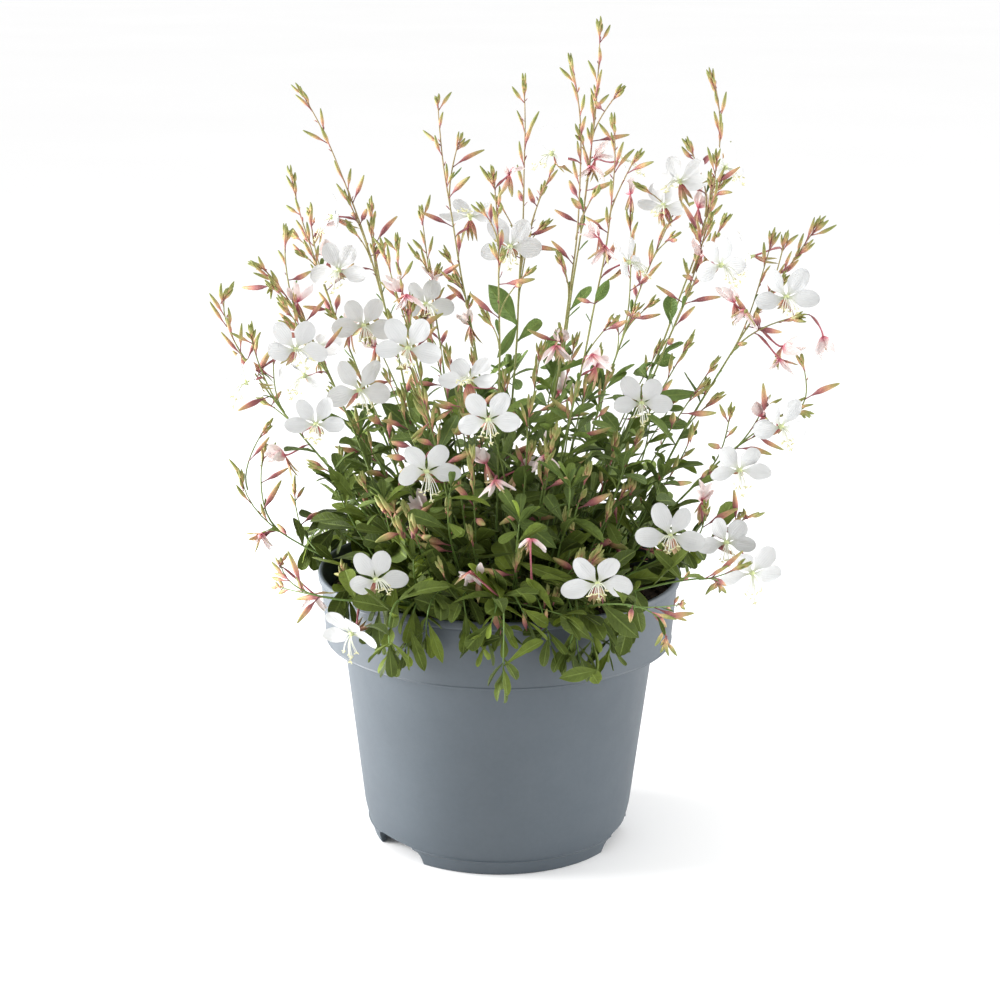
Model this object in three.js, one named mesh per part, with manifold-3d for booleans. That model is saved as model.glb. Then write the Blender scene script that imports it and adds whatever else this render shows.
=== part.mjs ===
// Potted gaura: slender wands of white butterfly-like flowers over a leafy clump, in a nursery pot.
// Millimetres, +Z up, +X to the right and -Y to the front. The origin is the middle of the pot's
// foot, on the ground.
import * as THREE from "three";
import { mergeVertices } from "three/addons/utils/BufferGeometryUtils.js";
import Module from "manifold-3d";

const wasm = await Module();
wasm.setup();

// Pot
const RIM_RADIUS = 95;
const POT_HEIGHT = 145;
const WALL = 1.6;
const COLLAR_HEIGHT = 36;
const COLLAR_FOOT_RADIUS = 91;
const BODY_TOP_RADIUS = 81.8;
const BODY_FOOT_RADIUS = 71;
const BODY_FOOT_HEIGHT = 17;
const FOOT_RADIUS = 66;
const PLATE_HEIGHT = 8.5;
const CENTRE_FOOT_RADIUS = 9;
const POT_SIDES = 32;
const NOTCH_AZIMUTHS = [-51, 72, 191];
const NOTCH_WIDTH = 31;
const NOTCH_HEIGHT = 9.5;
const DRAIN_COUNT = 6;
const DRAIN_RADIUS = 4.5;
const DRAIN_CIRCLE = 44;

// Peat
const SOIL_LEVEL = 131;
const SOIL_SIDES = 16;
const SEAT_GAP = 0.3;
const ROOT_DEPTH = 9;
const HOLE_RADIUS = 4.2;

// Plant
const GOLDEN_TURN = THREE.MathUtils.degToRad(137.5);
const STEM_SIDES = 3;
const STEM_RADIUS = 1.5;
const STEM_TIP_RADIUS = 0.75;
const SHOOT_RADIUS = 1;
const STEM_CHORDS = 6;
const SHOOT_CHORDS = 2;
const LEAF_LENGTH = [25, 38];
const LEAF_HALF_WIDTH = 0.17;
const LEAF_THICKNESS = 0.9;
const ROOT_REACH = 0.35;
const BUD_LENGTH = [9, 16];
const TIP_BUD_LENGTH = [8, 12];
const BUD_RADIUS = 1.05;
const BUD_SEAT = 1.5;
const STEM_BUDS = [0.95, 0.86, 0.75];
const SHOOT_BUDS = [0.78];
const PETAL_REACH = 16;
const PETAL_THICKNESS = 0.9;
const PETAL_ANGLES = [-98, -33, 33, 98];
const CLAW_RADIUS = 2.3;
const THROAT_DEPTH = 3;
const STAMEN_TIP = [2.6, -9.5, 6.5];
const STAMEN_RADIUS = 0.55;

// The least gap between two pieces, and how far a surface may move as small faces are merged
const CLEAR_GAP = 0.15;
const MERGE_REACH = 0.14;

// Each stem: where it leaves the peat, a point halfway along, its tip, its number of leaves, how
// far up they reach, and its side shoots. A shoot has its start as a share of the stem, its tip,
// and the number of leaves where it is a leafy one with no buds.
const STEMS = [
  { foot: [-34, 12], middle: [-57, 15, 268], tip: [-106, 35, 391], leaves: 9, leafy: 0.4,
    shoots: [[0.62, -81, 22, 339], [0.52, -69, 46, 333]] },
  { foot: [-42, 38], middle: [-75, 33, 241], tip: [-113, 64, 347], leaves: 9, leafy: 0.45,
    shoots: [[0.66, -104, 78, 324], [0.1, -72, 68, 182, 5]] },
  { foot: [-52, 0], middle: [-81, -10, 235], tip: [-124, -12, 306], leaves: 9, leafy: 0.5,
    shoots: [[0.72, -110, 4, 324], [0.5, -111, -24, 292]] },
  { foot: [-44, -18], middle: [-99, -32, 222], tip: [-135, -36, 297], leaves: 8, leafy: 0.5,
    shoots: [[0.58, -123, -52, 282]] },
  { foot: [-52, -30], middle: [-93, -28, 160], tip: [-133, -22, 204], leaves: 8, leafy: 0.7,
    shoots: [[0.7, -121, -4, 214], [0.45, -108, 10, 188]] },
  { foot: [-22, -46], middle: [-66, -88, 153], tip: [-109, -62, 170], leaves: 7, leafy: 0.6,
    shoots: [[0.2, -42, -78, 172, 4]] },
  { foot: [-18, -22], middle: [-36, -27, 232], tip: [-52, -33, 323], leaves: 9, leafy: 0.45,
    shoots: [[0.6, -61, -17, 320]] },
  { foot: [-18, 46], middle: [-29, 46, 230], tip: [-44, 75, 325], leaves: 9, leafy: 0.45,
    shoots: [[0.1, -38, 82, 186, 5]] },
  { foot: [3, 66], middle: [-17, 52, 267], tip: [-35, 84, 383], leaves: 9, leafy: 0.4,
    shoots: [[0.72, -22, 72, 364], [0.1, -6, 92, 188, 5]] },
  { foot: [-2, -38], middle: [-1, -41, 254], tip: [-5, -56, 359], leaves: 9, leafy: 0.45, shoots: [] },
  { foot: [2, 10], middle: [8, 15, 269], tip: [10, 20, 397], leaves: 9, leafy: 0.5,
    shoots: [[0.58, 29, 6, 362]] },
  { foot: [14, -14], middle: [32, -11, 274], tip: [32, -15, 410], leaves: 9, leafy: 0.45, shoots: [] },
  { foot: [20, 36], middle: [36, 30, 282], tip: [49, 45, 425], leaves: 9, leafy: 0.5,
    shoots: [[0.66, 49, 58, 391]] },
  { foot: [18, -34], middle: [40, -41, 262], tip: [52, -50, 384], leaves: 9, leafy: 0.45, shoots: [] },
  { foot: [42, 20], middle: [87, 26, 268], tip: [105, 30, 401], leaves: 9, leafy: 0.5,
    shoots: [[0.7, 95, 50, 364]] },
  { foot: [36, -8], middle: [73, -13, 241], tip: [105, -20, 367], leaves: 9, leafy: 0.5,
    shoots: [[0.62, 109, -40, 337]] },
  { foot: [36, 58], middle: [60, 70, 237], tip: [99, 110, 326], leaves: 9, leafy: 0.5,
    shoots: [[0.1, 58, 86, 184, 5], [0.55, 70, 104, 318]] },
  { foot: [62, 4], middle: [103, -16, 241], tip: [158, -22, 332], leaves: 8, leafy: 0.5,
    shoots: [[0.7, 143, -6, 324], [0.6, 149, -46, 289]] },
  { foot: [54, -24], middle: [100, -44, 205], tip: [147, -60, 244], leaves: 9, leafy: 0.5,
    shoots: [[0.62, 133, -44, 248], [0.5, 112, -66, 248]] },
  { foot: [40, -40], middle: [86, -52, 168], tip: [123, -44, 188], leaves: 9, leafy: 0.7,
    shoots: [[0.55, 101, -66, 200], [0.2, 88, -28, 160, 4]] },
  { foot: [30, -56], middle: [76, -86, 162], tip: [105, -72, 156], leaves: 8, leafy: 0.8, shoots: [] },
  { foot: [14, -60], middle: [52, -104, 158], tip: [78, -112, 136], leaves: 8, leafy: 0.7,
    shoots: [[0.15, 50, -92, 168, 4]] },
  { foot: [-36, -56], middle: [-46, -90, 155], tip: [-52, -112, 134], leaves: 8, leafy: 1, shoots: [] },
  { foot: [-4, -62], middle: [0, -94, 158], tip: [2, -120, 124], leaves: 9, leafy: 1,
    shoots: [[0.3, 32, -104, 152, 4]] },
];

// Each open flower: its stem's number, its middle, and the way it faces, as degrees round from
// the front towards the right and degrees up.
const FLOWERS = [
  [1, -85, 30, 331, -20, 10], [1, -84, 14, 299, 10, 5], [4, -123, -42, 263, -75, 0],
  [4, -110, -54, 261, -20, 15], [3, -99, -26, 252, -30, 10], [3, -96, 2, 263, -10, 25],
  [1, -74, 6, 267, 70, 5], [4, -91, -52, 233, -8, 12], [3, -72, -32, 246, 25, 5],
  [7, -46, -44, 270, 0, 0], [8, -30, 52, 285, 20, 10], [10, -16, -56, 257, 15, 60],
  [9, -17, 60, 315, 0, 12], [11, 4, 2, 314, 10, 0], [10, -8, -66, 239, 6, 8],
  [7, -36, -66, 213, 30, -15], [12, 24, -8, 362, -25, 15], [13, 63, 60, 352, 60, 20],
  [14, 62, -40, 313, 50, 10], [17, 88, 100, 323, -15, 10], [15, 97, 38, 341, -20, 12],
  [15, 111, 22, 351, 60, 10], [16, 106, -36, 318, 35, 15], [18, 139, 4, 304, -15, 20],
  [18, 141, -42, 295, 25, -10], [16, 70, -38, 242, 0, 5], [19, 136, -70, 238, 30, 10],
  [19, 117, -66, 215, 0, 0], [20, 109, -62, 182, -20, 10], [20, 121, -70, 166, 10, 0],
  [20, 93, -62, 190, -10, 20], [22, 50, -106, 166, 5, 22], [6, -75, -84, 148, -5, 0],
  [6, -58, -96, 162, 20, 10],
];

// Each fading flower, with its petals closed: its stem's number and where it hangs.
const SPENT_FLOWERS = [
  [7, -47, -40, 296], [10, -3, -70, 210], [12, 22, -46, 217], [13, 45, 28, 352], [14, 49, -60, 324],
  [18, 120, -34, 289], [18, 138, -36, 265], [12, 27, -28, 269], [14, 44, -60, 271], [24, -14, -98, 172],
  [6, -92, -66, 150], [5, -121, -34, 172], [24, 15, -90, 186],
];

const COLOURS = { pot: "#69747e", soil: "#33281f", stem: "#5d7338", petal: "#f4f3f1" };

// Seeded draws from 0 to 1: the same seed gives the same plant each time.
function seededDraws(seed) {
  let state = seed;
  return (low = 0, high = 1) => {
    state = (state * 1664525 + 1013904223) % 4294967296;
    return low + ((high - low) * state) / 4294967296;
  };
}

const vector = (x, y, z) => new THREE.Vector3(x, y, z);

function along(start, direction, distance) {
  return start.clone().addScaledVector(direction, distance);
}

// Solids
function solidOf(geometry) {
  const bare = new THREE.BufferGeometry();
  bare.setAttribute("position", geometry.getAttribute("position"));
  bare.setIndex(geometry.index);
  const merged = mergeVertices(bare, 1e-4);
  return new wasm.Manifold(
    new wasm.Mesh({
      numProp: 3,
      vertProperties: new Float32Array(merged.getAttribute("position").array),
      triVerts: new Uint32Array(merged.index.array),
    }),
  );
}

function geometryOf(solid) {
  const mesh = solid.getMesh();
  const geometry = new THREE.BufferGeometry();
  geometry.setAttribute("position", new THREE.BufferAttribute(mesh.vertProperties, 3));
  geometry.setIndex(new THREE.BufferAttribute(mesh.triVerts, 1));
  geometry.computeVertexNormals();
  return geometry;
}

function node(name, geometry, colour, roughness) {
  const material = new THREE.MeshStandardMaterial({ color: colour, roughness, metalness: 0 });
  material.flatShading = true;
  const mesh = new THREE.Mesh(geometry, material);
  mesh.name = name;
  return mesh;
}

// A closed form with two pointed ends. pointAt(side, ring) gives the corners of each ring, counted
// anticlockwise as seen from the last end, ring 0 being the first end and rings + 1 the last.
function loft(sides, rings, pointAt) {
  const geometry = new THREE.SphereGeometry(1, sides, rings + 1);
  const position = geometry.getAttribute("position");
  const uv = geometry.getAttribute("uv");
  for (let i = 0; i < position.count; i++) {
    const ring = Math.round(uv.getY(i) * (rings + 1));
    const side = Math.round(uv.getX(i) * sides) % sides;
    const point = pointAt(side, ring);
    position.setXYZ(i, point.x, point.y, point.z);
  }
  return solidOf(geometry);
}

// Across and upward directions square to a given direction.
function crossFrame(direction) {
  const reference = Math.abs(direction.z) > 0.99 ? vector(0, 1, 0) : vector(0, 0, 1);
  const across = direction.clone().cross(reference).normalize();
  const upward = across.clone().cross(direction);
  return { across, upward };
}

// A spindle: three-sided, thin at its root and widest at a given share of its length.
function spindle(root, tip, radius, widest = 0.6) {
  const direction = tip.clone().sub(root);
  const { across, upward } = crossFrame(direction.clone().normalize());
  return loft(3, 2, (side, ring) => {
    if (ring === 0) return root;
    if (ring > 2) return tip;
    const reach = ring === 1 ? ROOT_REACH : radius;
    const turn = (side / 3) * 2 * Math.PI;
    return along(root, direction, ring === 1 ? 0.01 : widest)
      .addScaledVector(upward, reach * Math.cos(turn))
      .addScaledVector(across, reach * Math.sin(turn));
  });
}

// A leaf: a keeled blade with a waved edge, narrow at its root, that arches down to its tip. Each
// ring has its share of the length and of the width.
const LEAF_RINGS = [[0, 0], [0.5, 1], [0.8, 0.66]];
function leafSolid({ root, direction, length, width, droop, roll, wave }) {
  const frame = crossFrame(direction);
  const across = frame.across.clone().applyAxisAngle(direction, roll);
  const upward = frame.upward.clone().applyAxisAngle(direction, roll);
  const middle = (share) =>
    along(root, direction, length * share).addScaledVector(upward, -droop * length * share * share);
  return loft(3, LEAF_RINGS.length, (side, ring) => {
    if (ring === 0) return along(root, direction, -ROOT_REACH);
    if (ring > LEAF_RINGS.length) return middle(1);
    const [share, spread] = LEAF_RINGS[ring - 1];
    const point = middle(share);
    if (side === 1) return point.addScaledVector(upward, spread ? -LEAF_THICKNESS : -ROOT_REACH);
    const edge = 1 - side;
    const lift = width * spread * 0.18 + spread * Math.sin(ring * 2.2 + edge * 1.1 + wave);
    const reach = edge * Math.max(ROOT_REACH, width * spread);
    return point.addScaledVector(across, reach).addScaledVector(upward, lift);
  });
}

// An open flower, facing +Z with +Y up: one thin form of four petals on narrow claws, its back
// drawn out to a throat, with two stamens that hang forward.
function flowerSolid(size, cup) {
  const reach = PETAL_REACH * size;
  const points = [];
  const faces = [];
  const add = (angle, radius, aside, z) => {
    const a = THREE.MathUtils.degToRad(angle);
    points.push(
      radius * Math.sin(a) + aside * Math.cos(a),
      radius * Math.cos(a) - aside * Math.sin(a),
      z + cup * reach * (radius / reach) ** 2,
    );
    return points.length / 3 - 1;
  };
  const front = add(0, 0, 0, 0.9);
  const back = add(0, 0, 0, -THROAT_DEPTH);
  const claws = PETAL_ANGLES.map((angle, i) => {
    const previous = i === 0 ? PETAL_ANGLES.at(-1) - 360 : PETAL_ANGLES[i - 1];
    return add((angle + previous) / 2, CLAW_RADIUS, 0, 0);
  });
  PETAL_ANGLES.forEach((angle, i) => {
    const half = 0.3 * reach;
    const edge = [[0.58, -half], [0.97, -0.55 * half], [0.97, 0.55 * half], [0.58, half]];
    const outline = edge.map(([share, aside]) => add(angle, share * reach, aside, 0.7 * Math.cos(aside)));
    const ring = [claws[i], ...outline, claws[(i + 1) % claws.length]];
    const upper = add(angle, 0.62 * reach, 0, PETAL_THICKNESS / 2);
    const lower = add(angle, 0.62 * reach, 0, -PETAL_THICKNESS / 2);
    for (let j = 0; j + 1 < ring.length; j++) {
      faces.push(upper, ring[j + 1], ring[j], lower, ring[j], ring[j + 1]);
    }
    faces.push(front, upper, ring[0], front, ring.at(-1), upper);
    faces.push(back, ring[0], lower, back, lower, ring.at(-1));
  });
  const geometry = new THREE.BufferGeometry();
  geometry.setAttribute("position", new THREE.Float32BufferAttribute(points, 3));
  geometry.setIndex(faces);
  const stamens = [-STAMEN_TIP[0], STAMEN_TIP[0]].map((aside) => {
    const tip = vector(aside, STAMEN_TIP[1], STAMEN_TIP[2]).multiplyScalar(size);
    return spindle(vector(0, 0, -1), tip, STAMEN_RADIUS, 0.75);
  });
  return wasm.Manifold.union([solidOf(geometry), ...stamens]);
}

// The way along a stem or a shoot: a cubic curve from its start to its tip, taken as equal steps of
// its parameter with a straight chord for each. A stem has one more chord, its root in the peat.
class Stalk extends THREE.CubicBezierCurve3 {
  constructor(start, first, second, end, chords, rootDepth = 0) {
    super(start, first, second, end);
    this.chords = chords;
    this.steps = chords + (rootDepth > 0 ? 1 : 0);
    this.rootDepth = rootDepth;
  }

  stations() {
    const points = Array.from({ length: this.chords + 1 }, (_, i) => super.getPoint(i / this.chords));
    if (this.rootDepth > 0) points.unshift(along(points[0], this.startDirection(), -this.rootDepth));
    return points;
  }

  startDirection() {
    return this.v1.clone().sub(this.v0).normalize();
  }

  // The point a share of the way along the chords above the peat.
  pointAt(share) {
    const place = Math.min(share, 0.9999) * this.chords;
    const i = Math.floor(place);
    const chordStart = super.getPoint(i / this.chords);
    return chordStart.lerp(super.getPoint((i + 1) / this.chords), place - i);
  }

  directionAt(share) {
    const i = Math.floor(Math.min(share, 0.9999) * this.chords);
    return super.getPoint((i + 1) / this.chords).sub(super.getPoint(i / this.chords)).normalize();
  }

  // three.js asks for these when it extrudes: the corners of the chords, evenly shared.
  getPoint(share) {
    const place = Math.min(share, 0.9999) * this.steps;
    const points = this.stations();
    const i = Math.floor(place);
    return points[i].clone().lerp(points[i + 1], place - i);
  }

  getUtoTmapping(share) {
    return share;
  }
}

function stemPath({ foot, middle, tip }) {
  const start = vector(foot[0], foot[1], SOIL_LEVEL);
  const half = vector(...middle);
  const end = vector(...tip);
  const rise = 12 + 0.22 * (end.z - SOIL_LEVEL);
  const first = vector(
    start.x + 0.15 * (half.x - start.x),
    start.y + 0.15 * (half.y - start.y),
    SOIL_LEVEL + rise,
  );
  const second = half.multiplyScalar(8).sub(start).addScaledVector(first, -3).sub(end).divideScalar(3);
  return new Stalk(start, first, second, end, STEM_CHORDS, ROOT_DEPTH);
}

function shootPath(parent, [share, x, y, z]) {
  const start = parent.pointAt(share);
  const end = vector(x, y, z);
  const first = along(start, parent.directionAt(share), start.distanceTo(end) / 3);
  const second = end.clone().lerp(first, 0.4);
  return new Stalk(start, first, second, end, SHOOT_CHORDS);
}

// Beads stand for what has been placed, so that nothing of one piece is set through another.
const beads = [];

function isClearOfPot({ point, radius }) {
  const reach = Math.hypot(point.x, point.y);
  const low = point.z - radius;
  const inside = reach + radius < RIM_RADIUS - 5 && low > SOIL_LEVEL + 2;
  return inside || low > POT_HEIGHT + 0.6 || reach - radius > RIM_RADIUS + 0.6;
}

function areApart(some, others) {
  const isApart = (a, b) => a.point.distanceTo(b.point) > a.radius + b.radius + CLEAR_GAP;
  return some.every((a) => others.every((b) => isApart(a, b)));
}

function isClear(owner, candidates) {
  return candidates.every(isClearOfPot) && areApart(candidates, beads.filter((bead) => bead.owner !== owner));
}

function keep(owner, candidates) {
  for (const bead of candidates) beads.push({ owner, ...bead });
}

function lineBeads(start, end, radius, spacing = 4) {
  const count = Math.max(1, Math.ceil(start.distanceTo(end) / spacing));
  const beadRadius = Math.hypot(start.distanceTo(end) / count / 2, radius);
  return Array.from({ length: count }, (_, i) => ({
    point: start.clone().lerp(end, (i + 0.5) / count),
    radius: beadRadius,
  }));
}

function pathBeads(path, radius) {
  return Array.from({ length: path.chords }, (_, i) =>
    lineBeads(path.pointAt(i / path.chords), path.pointAt((i + 1) / path.chords), radius),
  ).flat();
}

function leafBeads(leaf) {
  const frame = crossFrame(leaf.direction);
  const across = frame.across.clone().applyAxisAngle(leaf.direction, leaf.roll);
  const upward = frame.upward.clone().applyAxisAngle(leaf.direction, leaf.roll);
  const found = [];
  for (let i = 1; i <= 6; i++) {
    const share = i / 6 - 0.04;
    const spread = share < 0.5 ? share * 2 : 2 - 1.6 * share;
    for (const edge of [-0.5, 0.5]) {
      const point = along(leaf.root, leaf.direction, leaf.length * share)
        .addScaledVector(upward, -leaf.droop * leaf.length * share * share + 0.4)
        .addScaledVector(across, edge * leaf.width * spread);
      found.push({ point, radius: Math.hypot(leaf.length / 12, (leaf.width * spread) / 2) + 0.5 });
    }
  }
  return found;
}

function facingOf(azimuth, lift) {
  const a = THREE.MathUtils.degToRad(azimuth);
  const b = THREE.MathUtils.degToRad(lift);
  return vector(Math.sin(a) * Math.cos(b), -Math.cos(a) * Math.cos(b), Math.sin(b));
}

// The turned frame of a flower that faces a given way, with its upper petals up.
function flowerFrame(facing) {
  const up = vector(0, 0, 1).addScaledVector(facing, -facing.z).normalize();
  return new THREE.Matrix4().makeBasis(up.clone().cross(facing), up, facing);
}

function flowerBeads(centre, facing, size) {
  const frame = flowerFrame(facing);
  const place = (x, y, z, radius) => ({ point: vector(x, y, z).applyMatrix4(frame).add(centre), radius });
  const found = [place(0, -6 * size, 4 * size, 4)];
  for (const angle of PETAL_ANGLES) {
    const a = THREE.MathUtils.degToRad(angle);
    for (const share of [0.3, 0.6, 0.88]) {
      for (const aside of [-0.13, 0.13]) {
        const r = share * PETAL_REACH * size;
        const w = share < 0.5 ? 0 : aside * PETAL_REACH * size;
        const [across, up] = [r * Math.sin(a) + w * Math.cos(a), r * Math.cos(a) - w * Math.sin(a)];
        found.push(place(across, up, 0.5, 3.4 * size));
      }
    }
  }
  return found;
}

// Growing the plant: every draw comes in one fixed order.
const draw = seededDraws(911);

function growStems() {
  const stems = STEMS.map((row, i) => {
    const main = stemPath(row);
    const shoots = row.shoots.map((shoot) => ({ path: shootPath(main, shoot), leaves: shoot[4] ?? 0 }));
    return { owner: `stem_${String(i + 1).padStart(2, "0")}`, row, main, shoots, leaves: [], spindles: [] };
  });
  for (const stem of stems) {
    keep(stem.owner, pathBeads(stem.main, STEM_RADIUS));
    for (const shoot of stem.shoots) keep(stem.owner, pathBeads(shoot.path, SHOOT_RADIUS));
  }
  return stems;
}

// The place on a stem or its shoots that a flower grows from: the nearest point to one a little
// below it.
function nearestOn(stem, target) {
  const below = along(target, vector(0, 0, 1), -9);
  let best = null;
  for (const path of [stem.main, ...stem.shoots.map((shoot) => shoot.path)]) {
    for (let i = 8; i <= 40; i++) {
      const point = path.pointAt(i / 40);
      if (!best || point.distanceTo(below) < best.distanceTo(below)) best = point;
    }
  }
  return best;
}

function growFlower([number, x, y, z, azimuth, lift], stems, owner) {
  const stem = stems[number - 1];
  const size = draw(0.9, 1.06);
  const cup = draw(-0.1, 0.16);
  for (let attempt = 0; attempt < 80; attempt++) {
    const stray = attempt * 0.3;
    const centre = vector(x + draw(-stray, stray), y + draw(-stray, stray), z + draw(-stray, stray));
    const root = nearestOn(stem, centre);
    const outward = centre.clone().sub(root).normalize();
    const wanted = facingOf(azimuth + draw(-3, 3) * stray, lift + draw(-2, 2) * stray);
    const facing = wanted.addScaledVector(outward, 0.5 + 0.03 * stray).normalize();
    const seat = along(centre, facing, -THROAT_DEPTH - SEAT_GAP);
    const petals = flowerBeads(centre, facing, size);
    const tube = lineBeads(root, seat, 1, 2);
    if (!isClear(owner, petals) || !isClear(stem.owner, tube) || !areApart(petals, tube)) continue;
    keep(owner, petals);
    keep(stem.owner, tube);
    stem.spindles.push({ root, tip: seat, radius: 1.1, widest: 0.75 });
    return { owner, centre, facing, size, cup };
  }
  throw new Error("no room for the flower " + owner);
}

function growSpentFlower([number, x, y, z], stems) {
  const stem = stems[number - 1];
  const root = nearestOn(stem, vector(x, y, z));
  for (let attempt = 0; attempt < 40; attempt++) {
    const stray = attempt * 0.4;
    const centre = vector(x + draw(-stray, stray), y + draw(-stray, stray), z + draw(-stray, stray));
    const petals = [0, 1].map((i) => {
      const turn = i * GOLDEN_TURN + draw(-0.4, 0.4);
      return along(centre, vector(Math.cos(turn), Math.sin(turn), -1.1), 7);
    });
    const found = [...lineBeads(root, centre, 1), ...petals.flatMap((tip) => lineBeads(centre, tip, 1.3))];
    if (!isClear(stem.owner, found)) continue;
    keep(stem.owner, found);
    const end = along(centre, centre.clone().sub(root).normalize(), 2);
    stem.spindles.push({ root, tip: end, radius: 1.2, widest: 0.75 });
    for (const tip of petals) stem.spindles.push({ root: centre, tip, radius: 1.6 });
    return;
  }
}

// One bud, leaning from its stem by a given angle, at a given turn round it.
function growBud(stem, path, share, lean, turn, length) {
  const tangent = path.directionAt(share);
  const root = along(path.pointAt(share), tangent, -BUD_SEAT);
  const { across } = crossFrame(tangent);
  const outward = across.applyAxisAngle(tangent, turn);
  const direction = tangent.multiplyScalar(Math.cos(lean)).addScaledVector(outward, Math.sin(lean));
  const tip = along(root, direction, length);
  const found = lineBeads(along(root, direction, 1.5), tip, BUD_RADIUS);
  if (!isClear(stem.owner, found)) return false;
  keep(stem.owner, found);
  stem.spindles.push({ root, tip, radius: BUD_RADIUS });
  return true;
}

// A bud at the tip, and one at each given share of the way along.
function growBuds(stem, path, shares) {
  growBud(stem, path, 1, draw(0, 0.12), draw(0, 6), draw(...TIP_BUD_LENGTH));
  shares.forEach((share, i) => {
    const lean = draw(0.4, 0.7);
    const length = draw(...BUD_LENGTH);
    for (let attempt = 0; attempt < 6; attempt++) {
      const turn = i * GOLDEN_TURN + attempt * 1.1 + draw(0, 1);
      if (growBud(stem, path, share + draw(-0.015, 0.015), lean, turn, length)) return;
    }
  });
}

function growLeaves(stem, path, count, low, high) {
  for (let i = 0; i < count; i++) {
    const age = (i + 0.5) / count;
    for (let attempt = 0; attempt < 18; attempt++) {
      const share = low + (high - low) * (age ** 1.3 + draw(-0.4, 0.4) / count);
      const turn = i * GOLDEN_TURN + attempt * 1.3 + draw(-0.3, 0.3);
      const lift = draw(0.1, 0.9) + 0.3 * age;
      const length = draw(...LEAF_LENGTH) * (1 - 0.4 * age) * (attempt > 10 ? 0.75 : 1);
      const direction = vector(Math.cos(turn), Math.sin(turn), Math.tan(lift)).normalize();
      const leaf = {
        root: path.pointAt(share),
        direction,
        length,
        width: length * LEAF_HALF_WIDTH * draw(0.85, 1.15),
        droop: draw(0.05, 0.4),
        roll: draw(-0.9, 0.9),
        wave: draw(0, 6),
      };
      const found = leafBeads(leaf);
      if (!isClear(stem.owner, found)) continue;
      keep(stem.owner, found);
      stem.leaves.push(leaf);
      break;
    }
  }
}

function growPlant() {
  const stems = growStems();
  const flowers = FLOWERS.map((row, i) => growFlower(row, stems, `flower_${String(i + 1).padStart(2, "0")}`));
  for (const row of SPENT_FLOWERS) growSpentFlower(row, stems);
  for (const stem of stems) {
    if (stem.row.leafy < 1) growBuds(stem, stem.main, STEM_BUDS);
    for (const shoot of stem.shoots) if (!shoot.leaves) growBuds(stem, shoot.path, SHOOT_BUDS);
  }
  for (const stem of stems) {
    growLeaves(stem, stem.main, stem.row.leaves, 0.03, stem.row.leafy);
    for (const shoot of stem.shoots) growLeaves(stem, shoot.path, shoot.leaves, 0.1, 0.95);
  }
  return { stems, flowers };
}

// Extrudes a stem along its path, and draws it in from its first radius to its last.
function stemSolid(path, first, last) {
  const corners = Array.from({ length: STEM_SIDES }, (_, i) => (i / STEM_SIDES) * 2 * Math.PI);
  const section = new THREE.Shape(corners.map((turn) => new THREE.Vector2(Math.cos(turn), Math.sin(turn))));
  const options = { steps: path.steps, bevelEnabled: false, extrudePath: path };
  const geometry = new THREE.ExtrudeGeometry(section, options);
  const stations = path.stations();
  const position = geometry.getAttribute("position");
  for (let i = 0; i < position.count; i++) {
    const corner = vector(position.getX(i), position.getY(i), position.getZ(i));
    let nearest = 0;
    stations.forEach((station, j) => {
      if (corner.distanceTo(station) < corner.distanceTo(stations[nearest])) nearest = j;
    });
    const radius = THREE.MathUtils.lerp(first, last, nearest / path.steps);
    const point = stations[nearest].clone().lerp(corner, radius);
    position.setXYZ(i, point.x, point.y, point.z);
  }
  return solidOf(geometry);
}

function stemGeometry(stem) {
  const parts = [
    stemSolid(stem.main, STEM_RADIUS, STEM_TIP_RADIUS),
    ...stem.shoots.map((shoot) => stemSolid(shoot.path, SHOOT_RADIUS, STEM_TIP_RADIUS)),
    ...stem.leaves.map(leafSolid),
    ...stem.spindles.map(({ root, tip, radius, widest }) => spindle(root, tip, radius, widest)),
  ];
  return geometryOf(wasm.Manifold.union(parts).asOriginal().simplify(MERGE_REACH));
}

function flowerMesh({ owner, centre, facing, size, cup }) {
  const mesh = node(owner, geometryOf(flowerSolid(size, cup)), COLOURS.petal, 0.6);
  mesh.position.copy(centre);
  mesh.quaternion.setFromRotationMatrix(flowerFrame(facing));
  return mesh;
}

// A solid of revolution about the vertical axis, from a profile of [radius, height] pairs.
function turnedGeometry(profile, sides) {
  const points = profile.map(([radius, height]) => new THREE.Vector2(radius, height));
  return new THREE.LatheGeometry(points, sides).rotateX(Math.PI / 2);
}

// Inside radius of the pot's body and collar at a given height.
const SHELF = POT_HEIGHT - COLLAR_HEIGHT;
const BODY_SLOPE = (BODY_TOP_RADIUS - BODY_FOOT_RADIUS) / (SHELF - BODY_FOOT_HEIGHT);
const bodyInside = (z) => BODY_FOOT_RADIUS - WALL + BODY_SLOPE * (z - BODY_FOOT_HEIGHT);
const collarInside = (z) => COLLAR_FOOT_RADIUS - WALL + (2.4 * (z - SHELF)) / COLLAR_HEIGHT;

function notchCutter(azimuth) {
  const outline = new THREE.Shape();
  const half = FOOT_RADIUS * Math.tan(THREE.MathUtils.degToRad(NOTCH_WIDTH / 2));
  outline.moveTo(-half, -1);
  outline.lineTo(half, -1);
  outline.quadraticCurveTo(half * 0.98, NOTCH_HEIGHT, half * 0.7, NOTCH_HEIGHT);
  outline.lineTo(-half * 0.7, NOTCH_HEIGHT);
  outline.quadraticCurveTo(-half * 0.98, NOTCH_HEIGHT, -half, -1);
  const cutter = new THREE.ExtrudeGeometry(outline, { depth: 30, curveSegments: 4, bevelEnabled: false });
  cutter.translate(0, 0, FOOT_RADIUS - 14);
  cutter.rotateX(Math.PI / 2);
  cutter.rotateZ(THREE.MathUtils.degToRad(azimuth));
  return solidOf(cutter);
}

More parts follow.
